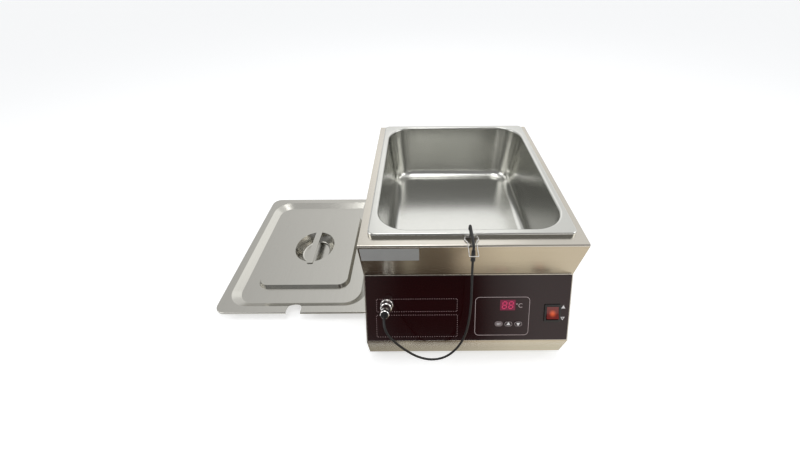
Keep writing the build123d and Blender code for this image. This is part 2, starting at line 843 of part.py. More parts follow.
key_middle = sum(key_us.values()) / len(key_us)
with BuildPart() as tact_switches:
    with BuildSketch(panel(0, key_v, -board_depth)):
        with Locations([(u, 0) for u in key_us.values()]):
            Rectangle(switch_side, switch_side)
    extrude(amount=switch_tall)
    with BuildSketch(panel(0, key_v, -board_depth + switch_tall)):
        with Locations([(u, 0) for u in key_us.values()]):
            Circle(plunger_r + 2 * fit)
    extrude(amount=-(switch_tall - 2), mode=Mode.SUBTRACT)
finish(tact_switches, "tact_switches")

# Keys: an oval cap through the panel, a collar that keeps it in and a plunger into its switch
plunger_l = board_depth - switch_tall + 1 - sheet - 2 * slide_gap - key_flange
for key_name, key_u in key_us.items():
    with BuildPart() as key:
        with BuildSketch(panel(key_u, key_v, fascia_t + key_stand_out)):
            SlotOverall(key_w, key_h)
        extrude(amount=-(fascia_t + key_stand_out + sheet + 2 * slide_gap))
        face = key.faces().filter_by(Axis((0, 0, 0), panel().z_dir)).sort_by(Axis.Z)[-1]
        fillet(face.edges(), key_stand_out / 2)
        with BuildSketch(panel(key_u, key_v, -sheet - slide_gap)):
            SlotOverall(key_w + 2, key_h + 2)
        extrude(amount=-key_flange)
        with BuildSketch(panel(key_u, key_v, -sheet - slide_gap - key_flange)):
            Circle(plunger_r)
        extrude(amount=-plunger_l)
    finish(key, f"{key_name}_key")

# Rocker switch: bezel and body in one moulding, the rocking key on its axle and the tabs behind
with BuildPart() as rocker_body:
    with BuildSketch(panel(rocker_u, rocker_v, fascia_t)):
        RectangleRounded(bezel_w, bezel_h, 2)
    extrude(amount=bezel_t)
    fillet(
        rocker_body.faces().filter_by(Axis((0, 0, 0), panel().z_dir)).sort_by(Axis.Z)[-1].edges(), 0.8
    )
    with BuildSketch(panel(rocker_u, rocker_v, fascia_t)):
        Rectangle(rocker_body_w, rocker_body_h)
    extrude(amount=-rocker_body_depth)
    with BuildSketch(panel(rocker_u, rocker_v, fascia_t + bezel_t)):
        Rectangle(window_w, window_h)
    extrude(amount=-bezel_t - rocker_axle_depth - rocker_body_depth / 2, mode=Mode.SUBTRACT)
    axle_plane = Plane(
        origin=panel(rocker_u, rocker_v, -rocker_axle_depth).origin, z_dir=(1, 0, 0)
    )
    with BuildSketch(axle_plane):
        Circle(rocker_axle_r + fit)
    extrude(amount=window_w / 2 + 1, both=True, mode=Mode.SUBTRACT)
finish(rocker_body, "rocker_body")

rocker_rest = panel(rocker_u, rocker_v, -rocker_axle_depth).rotated((-rocker_tilt, 0, 0))
rocker_side = Plane(
    origin=rocker_rest.origin, x_dir=rocker_rest.y_dir, z_dir=rocker_rest.x_dir
)
with BuildPart() as rocker_key:
    with BuildSketch(rocker_side):
        with BuildLine():
            ThreePointArc(
                (-rocker_half, rocker_end_rise), (0, rocker_mid_rise), (rocker_half, rocker_end_rise)
            )
            Line((rocker_half, rocker_end_rise), (rocker_half * 0.7, -rocker_under))
            Line((rocker_half * 0.7, -rocker_under), (-rocker_half * 0.7, -rocker_under))
            Line((-rocker_half * 0.7, -rocker_under), (-rocker_half, rocker_end_rise))
        make_face()
    extrude(amount=rocker_key_w / 2, both=True)
    with BuildSketch(rocker_side):
        Circle(rocker_axle_r)
    extrude(amount=window_w / 2 + 0.8, both=True)
finish(rocker_key, "rocker_key")

with BuildPart() as rocker_tabs:
    with BuildSketch(panel(rocker_u, rocker_v, fascia_t - rocker_body_depth)):
        with GridLocations(rocker_body_w / 2, rocker_body_h / 2, 2, 2):
            Rectangle(tab_w, tab_t)
    extrude(amount=-tab_l)
finish(rocker_tabs, "rocker_tabs")

# Probe socket through the panel with its nut, and the plug screwed on it
socket_section = Plane(
    origin=panel(socket_u, socket_v).origin, x_dir=panel().y_dir, z_dir=(1, 0, 0)
)
socket_axis = Axis(panel(socket_u, socket_v).origin, panel().z_dir)


def turned(points, out_shift=0.0):
    """Half-profile (radius, distance out of the panel), turned round the socket's axis."""
    with BuildPart() as form:
        with BuildSketch(socket_section):
            with BuildLine():
                Polyline(*[(r, out + out_shift) for r, out in points], close=True)
            make_face()
        revolve(axis=socket_axis)
    return form.part


socket_form = turned(
    [
        (0, -socket_back),
        (socket_r - 0.5, -socket_back),
        (socket_r - 0.5, fascia_t),
        (socket_flange_r, fascia_t),
        (socket_flange_r, fascia_t + socket_flange_t - 0.4),
        (socket_flange_r - 0.4, fascia_t + socket_flange_t),
        (socket_r, fascia_t + socket_flange_t),
        (socket_r, socket_front),
        (0, socket_front),
    ]
)
with BuildPart() as probe_socket:
    add(socket_form)
finish(probe_socket, "probe_socket")

with BuildPart() as socket_nut:
    with BuildSketch(panel(socket_u, socket_v, -sheet)):
        RegularPolygon(socket_nut_af / 2, 6, major_radius=False)
        Circle(socket_r - 0.5 + fit, mode=Mode.SUBTRACT)
    extrude(amount=-socket_nut_t)
finish(socket_nut, "socket_nut")

ring_start = fascia_t + socket_flange_t + slide_gap
with BuildPart() as plug_ring:
    with BuildSketch(panel(socket_u, socket_v, ring_start)):
        Circle(ring_r)
        Circle(socket_r + 2 * fit, mode=Mode.SUBTRACT)
    extrude(amount=ring_l)
    chamfer(plug_ring.edges().filter_by(GeomType.CIRCLE).sort_by(SortBy.RADIUS)[-2:], 0.6)
finish(plug_ring, "plug_ring")

ring_end = ring_start + ring_l
plug_form = turned(
    [
        (0, socket_front + seat),
        (socket_r, socket_front + seat),
        (socket_r, ring_end + seat),
        (plug_r, ring_end + seat),
        (plug_r, plug_l * 0.66),
        (plug_neck_r, plug_l * 0.8),
        (plug_neck_r, plug_l - 4),
        (plug_tail_r, plug_l - 4),
        (plug_tail_r, plug_l - 1),
        (plug_tail_r - 1, plug_l),
        (0, plug_l),
    ]
)
with BuildPart() as probe_plug:
    add(plug_form)
finish(probe_plug, "probe_plug")

# Probe: a steel tube bent over the pan's rim, with a black sleeve outside the pan and a boot where
# the cable enters it. It lies on the back of a spring clip that grips the rim.
rim_front = pan_back_shift - pan_l / 2
clip_top = pan_top + seat + clip_t
hook_z = clip_top + seat + sleeve_r
throat_front = pan_back_shift - opening_l / 2
inner_y = throat_front + 2 * curl_r + sleeve_r + 1.3
probe_bottom = pan_floor + probe_tip_rise
boot_bottom = (rim_front - probe_reach, casing_h - boot_drop)
rise = hook_z - boot_bottom[1]
hook_front = (boot_bottom[0] + rise * tan(radians(probe_lean)), hook_z)
hook_back = (inner_y, hook_z)
probe_tip = (inner_y + (hook_z - probe_bottom) * tan(radians(pan_draft)), probe_bottom)
sleeve_end = (inner_y + 10 * tan(radians(pan_draft)), hook_z - 10)


def probe_tube(points, radius, bore=0.0):
    """A tube along a bent path in the probe's upright plane."""
    with BuildPart() as form:
        with BuildLine(section(probe_x)) as path:
            FilletPolyline(*points, radius=hook_r)
        with BuildSketch(Plane(path.line @ 0, z_dir=path.line % 0)):
            Circle(radius)
            if bore:
                Circle(bore, mode=Mode.SUBTRACT)
        sweep()
    return form.part


boot_along = (sin(radians(probe_lean)), cos(radians(probe_lean)))
tube_start = (boot_bottom[0] + 4 * boot_along[0], boot_bottom[1] + 4 * boot_along[1])
tube_form = probe_tube([tube_start, hook_front, hook_back, probe_tip], probe_r)
sleeve_form = probe_tube([tube_start, hook_front, hook_back, sleeve_end], sleeve_r, probe_r + fit / 2)
with BuildPart() as probe_tube_steel:
    add(tube_form)
finish(probe_tube_steel, "probe_tube")
with BuildPart() as probe_sleeve:
    add(sleeve_form)
finish(probe_sleeve, "probe_sleeve")

boot_plane = Plane(
    origin=section(probe_x).from_local_coords((*boot_bottom, 0)),
    x_dir=(1, 0, 0),
    z_dir=(0, *boot_along),
)
with BuildPart() as probe_boot:
    with BuildSketch(boot_plane):
        Circle(boot_r)
    with BuildSketch(boot_plane.offset(boot_l)):
        Circle(boot_tip_r)
    loft()
    with BuildSketch(boot_plane.offset(4 - seat)):
        Circle(sleeve_r + fit)
    extrude(amount=boot_l, mode=Mode.SUBTRACT)
finish(probe_boot, "probe_boot")

# Spring clip: a folded steel strip whose two curled lips hold the wire levers
lip_front = (rim_front - curl_r - seat, casing_h + curl_r + 2 * seat)
lip_back = (throat_front + curl_r + 2 * seat, casing_h + curl_r + 2 * seat)
back_fold = (throat_front - clip_back, clip_top)
front_fold = (rim_front - clip_front, clip_top)
with BuildPart() as clip_body:
    with BuildSketch(section(probe_x)):
        with BuildLine():
            Polyline(
                front_fold,
                back_fold,
                (lip_back[0] - curl_r * 0.2, lip_back[1] + curl_r * 0.8),
                (lip_back[0] - curl_r * 0.2 - clip_t, lip_back[1] + curl_r * 0.8),
                (back_fold[0] - clip_t, clip_top - clip_t),
                (front_fold[0] + clip_t, clip_top - clip_t),
                (lip_front[0] + curl_r * 0.2 + clip_t, lip_front[1] + curl_r * 0.8),
                (lip_front[0] + curl_r * 0.2, lip_front[1] + curl_r * 0.8),
                close=True,
            )
        make_face()
        with Locations(lip_front, lip_back):
            Circle(curl_r)
            Circle(wire_r + fit, mode=Mode.SUBTRACT)
    extrude(amount=clip_w / 2, both=True)
finish(clip_body, "clip_body")


def lever(lip, length, angle):
    """A wire loop whose two inturned feet sit in a curled lip; angle is from +Y towards +Z."""
    along = (cos(radians(angle)), sin(radians(angle)))
    plane = Plane(
        origin=section(probe_x).from_local_coords((*lip, 0)),
        x_dir=(1, 0, 0),
        z_dir=(0, -along[1], along[0]),
    )
    turn = 1 if plane.y_dir.Y * along[0] + plane.y_dir.Z * along[1] > 0 else -1
    wide = clip_w / 2 + wire_bend + seat
    narrow = lever_w / 2
    with BuildPart() as form:
        with BuildLine(plane) as path:
            FilletPolyline(
                (wide - 4, 0),
                (wide, 0),
                (wide, turn * 4),
                (narrow, turn * 9),
                (narrow, turn * length),
                (-narrow, turn * length),
                (-narrow, turn * 9),
                (-wide, turn * 4),
                (-wide, 0),
                (4 - wide, 0),
                radius=wire_bend,
            )
        with BuildSketch(Plane(path.line @ 0, z_dir=path.line % 0)):
            Circle(wire_r)
        sweep()
    return form.part


with BuildPart() as clip_lever_front:
    add(lever(lip_front, front_lever_l, 180 + front_lever_dip))
finish(clip_lever_front, "clip_lever_front")
with BuildPart() as clip_lever_back:
    add(lever(lip_back, back_lever_l, -90 + back_lever_lean))
finish(clip_lever_back, "clip_lever_back")

# Probe cable: from the plug's tail it sags in front of the panel and rises to the boot


def below_boot(distance):
    return (boot_bottom[0] - distance * boot_along[0], boot_bottom[1] - distance * boot_along[1])


plug_tail = section(socket_u).to_local_coords(panel(socket_u, socket_v, plug_l).origin)
cable_points = [
    (socket_u, plug_tail.X - seat, plug_tail.Y),
    (socket_u, -224.0, 122.2),
    (-110.5, -235.5, 117.5),
    (-105.0, -239.5, 105.5),
    (-96.0, -240.0, 90.5),
    (-84.0, -239.5, 72.5),
    (-69.0, -238.5, 55.0),
    (-50.5, -236.5, 44.0),
    (-31.5, -234.0, 46.5),
    (-16.5, -230.0, 61.5),
    (-6.5, -224.5, 83.0),
    (-2.5, -217.5, 108.5),
    (-1.2, -209.5, 135.0),
    (-1.5, -200.0, 159.0),
    (probe_x, *below_boot(13)),
    (probe_x, *below_boot(slide_gap)),
]
cable_corners = [Vector(machine_x + x, machine_y + y, z) for x, y, z in cable_points]
cable_runs = [b - a for a, b in zip(cable_corners, cable_corners[1:])]
cable_radii = []
for first, second in zip(cable_runs, cable_runs[1:]):
    half_turn = radians(first.get_angle(second)) / 2
    cable_radii.append(0.45 * min(first.length, second.length) / tan(half_turn))
print("cable runs", [round(run.length, 1) for run in cable_runs])
print("cable radii", [round(radius, 1) for radius in cable_radii])
with BuildPart() as probe_cable:
    with BuildLine() as cable_path:
        FilletPolyline(*cable_corners, radius=cable_radii)
    with BuildSketch(Plane(cable_path.line @ 0, z_dir=cable_path.line % 0)):
        Circle(cable_d / 2)
    sweep()
cable_length = sum(piece.length for piece in cable_path.line.edges())
cable_section = pi * cable_d**2 / 4
print("cable length", round(cable_length, 1))
print("cable volume share", round(probe_cable.part.volume / (cable_section * cable_length), 4))
finish(probe_cable, "probe_cable")

# Power electronics on the base plate: board on posts, transformer, relay, terminals, earth stud
board_z = casing_bottom + post_h
power_plane = level(board_z, power_x, power_y)
post_pitch = (power_w - 2 * pillar_inset, power_l - 2 * pillar_inset)
with BuildPart() as power_posts:
    with BuildSketch(level(casing_bottom, power_x, power_y)):
        with GridLocations(*post_pitch, 2, 2):
            Circle(post_r)
    extrude(amount=post_h)
finish(power_posts, "power_posts")

with BuildPart() as power_board:
    with BuildSketch(power_plane):
        RectangleRounded(power_w, power_l, 2)
    extrude(amount=board_t)
finish(power_board, "power_board")

with BuildPart() as transformer:
    with BuildSketch(power_plane.offset(board_t)):
        with Locations((-power_w / 4, power_l / 6)):
            Rectangle(core_w, core_l)
    extrude(amount=core_h)
    with BuildSketch(power_plane.offset(board_t + (core_h - coil_h) / 2)):
        with Locations((-power_w / 4, power_l / 6)):
            Rectangle(coil_w, coil_l)
    extrude(amount=coil_h)
    fillet(transformer.faces().sort_by(Axis.Z)[-1].edges(), 1)
finish(transformer, "transformer")

with BuildPart() as relay:
    with BuildSketch(power_plane.offset(board_t)):
        with Locations((power_w / 6, power_l / 5)):
            Rectangle(relay_w, relay_l)
    extrude(amount=relay_h)
    fillet(relay.faces().sort_by(Axis.Z)[-1].edges(), 1)
finish(relay, "relay")

with BuildPart() as terminal_block:
    with BuildSketch(power_plane.offset(board_t)):
        with Locations((power_w / 8, -power_l / 3)):
            Rectangle(terminals_w, terminals_l)
    extrude(amount=terminals_h)
    with BuildSketch(power_plane.offset(board_t + terminals_h)):
        with Locations((power_w / 8, -power_l / 3)):
            with GridLocations(terminal_pitch, 0, terminal_count, 1):
                Circle(terminal_r)
    extrude(amount=-terminal_depth, mode=Mode.SUBTRACT)
finish(terminal_block, "terminal_block")

with BuildPart() as earth_stud:
    with BuildSketch(level(casing_bottom, -power_x, power_y)):
        RegularPolygon(stud_head_r, 6, major_radius=False)
    extrude(amount=stud_head_h)
    with BuildSketch(level(casing_bottom + stud_head_h, -power_x, power_y)):
        Circle(stud_r)
    extrude(amount=stud_h)
finish(earth_stud, "earth_stud")
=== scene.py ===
import json
import math

import bmesh
import bpy
from bpy.props import FloatProperty, FloatVectorProperty, IntProperty, PointerProperty, StringProperty
from mathutils import Matrix, Vector


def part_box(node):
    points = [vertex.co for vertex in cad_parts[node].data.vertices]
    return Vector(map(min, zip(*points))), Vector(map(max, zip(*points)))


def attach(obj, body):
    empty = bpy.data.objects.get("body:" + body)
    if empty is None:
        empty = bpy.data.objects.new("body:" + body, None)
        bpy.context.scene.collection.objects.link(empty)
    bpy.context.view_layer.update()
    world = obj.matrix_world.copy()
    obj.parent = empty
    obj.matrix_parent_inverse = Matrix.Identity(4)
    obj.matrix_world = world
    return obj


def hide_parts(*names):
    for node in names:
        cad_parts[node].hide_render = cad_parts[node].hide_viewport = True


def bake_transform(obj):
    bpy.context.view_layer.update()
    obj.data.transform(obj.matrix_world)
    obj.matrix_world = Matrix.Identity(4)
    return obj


bl_info = {
    "name": "Chocolate tempering machine",
    "version": (1, 0, 0),
    "blender": (4, 5, 0),
    "location": "View3D > Sidebar > Tempering",
    "description": "Dresses the packed tempering machine with steel, rubber, panel marks and its probe cable",
    "category": "Object",
}

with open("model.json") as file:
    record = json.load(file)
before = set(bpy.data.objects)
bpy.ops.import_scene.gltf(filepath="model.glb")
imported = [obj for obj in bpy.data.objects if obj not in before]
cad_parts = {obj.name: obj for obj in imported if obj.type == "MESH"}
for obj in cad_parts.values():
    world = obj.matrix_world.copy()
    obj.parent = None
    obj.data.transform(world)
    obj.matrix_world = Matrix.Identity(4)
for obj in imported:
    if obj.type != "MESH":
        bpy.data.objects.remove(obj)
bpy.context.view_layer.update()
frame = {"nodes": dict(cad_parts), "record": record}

MM = 0.001
CASING_HALF_DEPTH = 175 * MM
CASING_LOW, CASING_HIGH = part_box("casing")
CENTRE_X = (CASING_LOW.x + CASING_HIGH.x) / 2
CENTRE_Y = CASING_HIGH.y - CASING_HALF_DEPTH
SLOTS = {row["node"]: row["material_slot"] for row in frame["record"]["subparts"]}

# Corners of the front's profile, as (y, z) in millimetres
STRIP_TOP = (-175.0, 202.0)
PANEL_TOP = (-164.0, 139.0)
PANEL_FOOT = (-212.0, 51.0)

# Places on the panel in millimetres: across from its middle, and down from its top edge
PLUG_PLACE = (-112.6, 43.5)
DIGITS_PLACE = (55.5, 45.0)
DEGREE_PLACE = (71.3, 46.0)
KEY_ROW = 72.8
SET_KEY = (43.7, KEY_ROW)
UP_KEY = (57.2, KEY_ROW)
DOWN_KEY = (71.0, KEY_ROW)
SWITCH_SIGNS = ((133.0, 48.8), (133.0, 64.9))
# Left, right, top and foot of the printed frames, measured the same way
DOTTED_FRAMES = [(-126.8, -14.9, 34.9, 53.7), (-127.7, -14.3, 58.9, 92.0)]
CONTROLS_OUTLINE = (10.1, 86.1, 32.7, 90.6)

# Heights over the panel's sheet in millimetres: the film, and the key caps over the film
FILM = 1.0
KEY_RISE = 1.3

# How a sign is turned that points up or down
UPRIGHT = Matrix.Identity(4)
HALF_TURN = Matrix.Rotation(math.pi, 4, "Z")

# Distances under which points are welded into one
NODE_WELD = 0.002 * MM
MESH_WELD = 0.01 * MM


def place(x, y, z):
    """A point given in millimetres from the machine's centre line, in the row frame in metres."""
    return Vector((CENTRE_X + x * MM, CENTRE_Y + y * MM, z * MM))


def slope_matrix(top, foot, u, v, out):
    """A frame on a sloping face of the front: X across, Y up the face, Z out of it."""
    up = Vector((0, top[0] - foot[0], top[1] - foot[1])).normalized()
    across = Vector((1, 0, 0))
    facing = across.cross(up)
    origin = place(0, *top) + across * u * MM - up * v * MM + facing * out * MM
    turned = Matrix((across, up, facing)).transposed().to_4x4()
    return Matrix.Translation(origin) @ turned


def on_panel(u, v, out):
    """A frame on the panel, or at a height over it."""
    return slope_matrix(PANEL_TOP, PANEL_FOOT, u, v, out)


def print_level(rise=0.0):
    """The height of print, which lies on the film or on a cap that rises above it."""
    return FILM + rise + bpy.context.scene.tempering_sizes.print_height / MM


# Meshes


def linked(name, data):
    """An object with its data, put into the scene."""
    made = bpy.data.objects.new(name, data)
    bpy.context.scene.collection.objects.link(made)
    return made


def new_mesh(name, build):
    """An object whose mesh is made by build(bm)."""
    bm = bmesh.new()
    build(bm)
    mesh = bpy.data.meshes.new(name)
    bm.to_mesh(mesh)
    bm.free()
    return linked(name, mesh)


def new_piece(name, body, slot, build, material=None):
    """A mesh that rides on a body and takes the finish of its slot, or another one where it is given."""
    piece = new_mesh(name, build)
    piece.data.materials.append(material or finish_of(slot))
    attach(piece, body)
    return piece


def smooth_by_angle(bm, degrees):
    """Rounds the shading, except across edges that turn by more than the given angle."""
    limit = math.radians(degrees)
    for face in bm.faces:
        face.smooth = True
    for edge in bm.edges:
        edge.smooth = edge.is_manifold and edge.calc_face_angle(0) < limit


def refine(node, name, degrees):
    """A welded copy of a node with rounded shading stands for it. Its flat faces stay flat."""
    source = frame["nodes"][node]
    body = next(b for b, n in frame["record"]["behaviour"]["bodies"].items() if node in n)

    def build(bm):
        bm.from_mesh(source.data)
        bmesh.ops.remove_doubles(bm, verts=bm.verts, dist=NODE_WELD)
        smooth_by_angle(bm, degrees)

    piece = new_piece(name, body, SLOTS[node], build)
    even = piece.modifiers.new("flat_faces_first", "WEIGHTED_NORMAL")
    even.mode = "FACE_AREA"
    even.weight = 75
    even.keep_sharp = True
    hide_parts(node)


def flat_rounded(bm, width, height, radius, matrix, segments=10):
    """One flat face with rounded corners."""
    before = set(bm.faces)
    verts = bmesh.ops.create_grid(bm, x_segments=1, y_segments=1, size=0.5)["verts"]
    bmesh.ops.scale(bm, vec=(width * MM, height * MM, 1), verts=verts)
    bmesh.ops.bevel(
        bm, geom=verts, offset=radius * MM, segments=segments, profile=0.5,
        affect="VERTICES", material=-1, clamp_overlap=False,
    )
    faces = [f for f in bm.faces if f not in before]
    verts = list({v for f in faces for v in f.verts})
    bmesh.ops.transform(bm, matrix=matrix, verts=verts)
    return faces


def hollow_out(bm, faces, thickness):
    """Takes the middle out of flat faces, so that only a rim of the given thickness stays."""
    bmesh.ops.inset_region(
        bm, faces=faces, thickness=thickness * MM, depth=0, use_even_offset=True, use_boundary=True
    )
    bmesh.ops.delete(bm, geom=faces, context="FACES")


def ring_line(bm, width, height, radius, thickness, matrix):
    """A thin drawn line along a rounded rectangle."""
    hollow_out(bm, flat_rounded(bm, width, height, radius, matrix), thickness)


def triangle(bm, radius, matrix):
    """One flat triangle that points up. Gives its face back."""
    verts = bmesh.ops.create_circle(bm, cap_ends=True, segments=3, radius=radius * MM)["verts"]
    bmesh.ops.transform(bm, matrix=matrix, verts=verts)
    return verts[0].link_faces[:]


# Finishes

# The coarse grain, against the fine one: how dense it is, and its share of the whole
COARSE_DENSITY = 0.17
COARSE_SHARE = 0.35
# How far a face looks along X, from 0 to 1, before it takes the grain of the sides
SIDE_LOOK = 0.7
RELIEF_DEPTH = 0.4 * MM


def effect_group(name, inputs, outputs):
    """An empty shader group with named sockets: inputs are (name, kind, default)."""
    group = bpy.data.node_groups.new(name, "ShaderNodeTree")
    for label, kind, default in inputs:
        made = group.interface.new_socket(name=label, in_out="INPUT", socket_type=kind)
        if default is not None:
            made.default_value = default
    for label, kind in outputs:
        group.interface.new_socket(name=label, in_out="OUTPUT", socket_type=kind)
    into = group.nodes.new("NodeGroupInput")
    out = group.nodes.new("NodeGroupOutput")
    into.location = (-700, 0)
    out.location = (500, 0)
    return group, into, out


def calculate(nodes, links, operation, *values):
    """The result of a sum, product or the like of some values, each a socket or a number."""
    step = nodes.new("ShaderNodeMath")
    step.operation = operation
    for socket, value in zip(step.inputs, values):
        if isinstance(value, bpy.types.NodeSocket):
            links.new(value, socket)
        else:
            socket.default_value = value
    return step.outputs[0]


def grain_group():
    """Fine grain: a streaked or even noise that gives tone, gloss and relief."""
    group, into, out = effect_group(
        "Fine grain",
        [
            ("Vector", "NodeSocketVector", None),
            ("Density", "NodeSocketFloat", 900.0),
            ("Contrast", "NodeSocketFloat", 1.0),
        ],
        [("Grain", "NodeSocketFloat"), ("Relief", "NodeSocketFloat")],
    )
    nodes, links = group.nodes, group.links
    fine = nodes.new("ShaderNodeTexNoise")
    fine.inputs["Detail"].default_value = 5.0
    fine.inputs["Roughness"].default_value = 0.65
    coarse = nodes.new("ShaderNodeTexNoise")
    coarse.inputs["Detail"].default_value = 2.0
    blend = nodes.new("ShaderNodeMix")
    blend.inputs["Factor"].default_value = COARSE_SHARE
    spread = nodes.new("ShaderNodeMapRange")
    spread.inputs["From Min"].default_value = 0.3
    spread.inputs["From Max"].default_value = 0.7
    links.new(into.outputs["Vector"], fine.inputs["Vector"])
    links.new(into.outputs["Vector"], coarse.inputs["Vector"])
    links.new(into.outputs["Density"], fine.inputs["Scale"])
    sparse = calculate(nodes, links, "MULTIPLY", into.outputs["Density"], COARSE_DENSITY)
    links.new(sparse, coarse.inputs["Scale"])
    links.new(fine.outputs["Fac"], blend.inputs["A"])
    links.new(coarse.outputs["Fac"], blend.inputs["B"])
    links.new(blend.outputs["Result"], spread.inputs["Value"])
    scaled = calculate(nodes, links, "MULTIPLY", spread.outputs["Result"], into.outputs["Contrast"])
    links.new(scaled, out.inputs["Grain"])
    links.new(blend.outputs["Result"], out.inputs["Relief"])
    return group


def marks_group():
    """Handling marks: large soft patches where hands and cloths have left the surface duller."""
    group, into, out = effect_group(
        "Handling marks",
        [
            ("Vector", "NodeSocketVector", None),
            ("Size", "NodeSocketFloat", 14.0),
            ("Amount", "NodeSocketFloat", 0.1),
        ],
        [("Marks", "NodeSocketFloat")],
    )
    nodes, links = group.nodes, group.links
    cloud = nodes.new("ShaderNodeTexNoise")
    cloud.inputs["Detail"].default_value = 3.0
    cloud.inputs["Distortion"].default_value = 0.6
    spread = nodes.new("ShaderNodeMapRange")
    spread.inputs["From Min"].default_value = 0.35
    spread.inputs["From Max"].default_value = 0.7
    links.new(into.outputs["Vector"], cloud.inputs["Vector"])
    links.new(into.outputs["Size"], cloud.inputs["Scale"])
    links.new(cloud.outputs["Fac"], spread.inputs["Value"])
    scaled = calculate(nodes, links, "MULTIPLY", spread.outputs["Result"], into.outputs["Amount"])
    links.new(scaled, out.inputs["Marks"])
    return group


def shade_group():
    """Shade of a colour: darkens it by grain and marks together."""
    group, into, out = effect_group(
        "Shade by grain",
        [
            ("Colour", "NodeSocketColor", (0.8, 0.8, 0.8, 1.0)),
            ("Dark colour", "NodeSocketColor", (0.6, 0.6, 0.6, 1.0)),
            ("Grain", "NodeSocketFloat", 0.0),
            ("Marks", "NodeSocketFloat", 0.0),
        ],
        [("Colour", "NodeSocketColor")],
    )
    nodes, links = group.nodes, group.links
    both = calculate(nodes, links, "ADD", into.outputs["Grain"], into.outputs["Marks"])
    both.node.use_clamp = True
    mix = nodes.new("ShaderNodeMix")
    mix.data_type = "RGBA"
    links.new(both, mix.inputs["Factor"])
    links.new(into.outputs["Colour"], mix.inputs["A"])
    links.new(into.outputs["Dark colour"], mix.inputs["B"])
    links.new(mix.outputs["Result"], out.inputs["Colour"])
    return group


def lamp_group():
    """Lamp behind: light that shows through a surface and fades with the distance from its lamp."""
    group, into, out = effect_group(
        "Lamp behind",
        [
            ("Vector", "NodeSocketVector", None),
            ("Lamp", "NodeSocketVector", (0.0, 0.0, 0.0)),
            ("Reach", "NodeSocketFloat", 0.005),
            ("Colour", "NodeSocketColor", (1.0, 0.2, 0.1, 1.0)),
        ],
        [("Colour", "NodeSocketColor")],
    )
    nodes, links = group.nodes, group.links
    away = nodes.new("ShaderNodeVectorMath")
    away.operation = "DISTANCE"
    fade = nodes.new("ShaderNodeMapRange")
    fade.interpolation_type = "SMOOTHSTEP"
    fade.inputs["To Min"].default_value = 1.0
    fade.inputs["To Max"].default_value = 0.0
    mix = nodes.new("ShaderNodeMix")
    mix.data_type = "RGBA"
    mix.inputs["A"].default_value = (0, 0, 0, 1)
    links.new(into.outputs["Vector"], away.inputs[0])
    links.new(into.outputs["Lamp"], away.inputs[1])
    links.new(away.outputs["Value"], fade.inputs["Value"])
    links.new(into.outputs["Reach"], fade.inputs["From Max"])
    links.new(fade.outputs["Result"], mix.inputs["Factor"])
    links.new(into.outputs["Colour"], mix.inputs["B"])
    links.new(mix.outputs["Result"], out.inputs["Colour"])
    return group


def group_node(nodes, name):
    """A node that uses a shared effect, which is made on first use."""
    makers = {
        "Fine grain": grain_group, "Handling marks": marks_group, "Shade by grain": shade_group,
        "Lamp behind": lamp_group,
    }
    node = nodes.new("ShaderNodeGroup")
    node.node_tree = bpy.data.node_groups.get(name) or makers[name]()
    return node


def new_material(name):
    """A new material with its nodes and links."""
    material = bpy.data.materials.new(name)
    material.use_nodes = True
    return material, material.node_tree.nodes, material.node_tree.links


def stretched(nodes, links, where, scale):
    """Object coordinates, stretched so that the grain on them runs in streaks."""
    mapping = nodes.new("ShaderNodeMapping")
    mapping.inputs["Scale"].default_value = scale
    links.new(where.outputs["Object"], mapping.inputs["Vector"])
    return mapping.outputs["Vector"]


def grain_vector(nodes, links, where, streak, side_streak):
    """The coordinates of the grain, which may run another way on faces that look along X."""
    along = stretched(nodes, links, where, streak)
    if not side_streak:
        return along
    aside = stretched(nodes, links, where, side_streak)
    facing = nodes.new("ShaderNodeSeparateXYZ")
    links.new(where.outputs["Normal"], facing.inputs["Vector"])
    size = calculate(nodes, links, "ABSOLUTE", facing.outputs["X"])
    turned = calculate(nodes, links, "GREATER_THAN", size, SIDE_LOOK)
    choose = nodes.new("ShaderNodeMix")
    choose.data_type = "VECTOR"
    links.new(turned, choose.inputs["Factor"])
    links.new(along, choose.inputs["A"])
    links.new(aside, choose.inputs["B"])
    return choose.outputs["Result"]


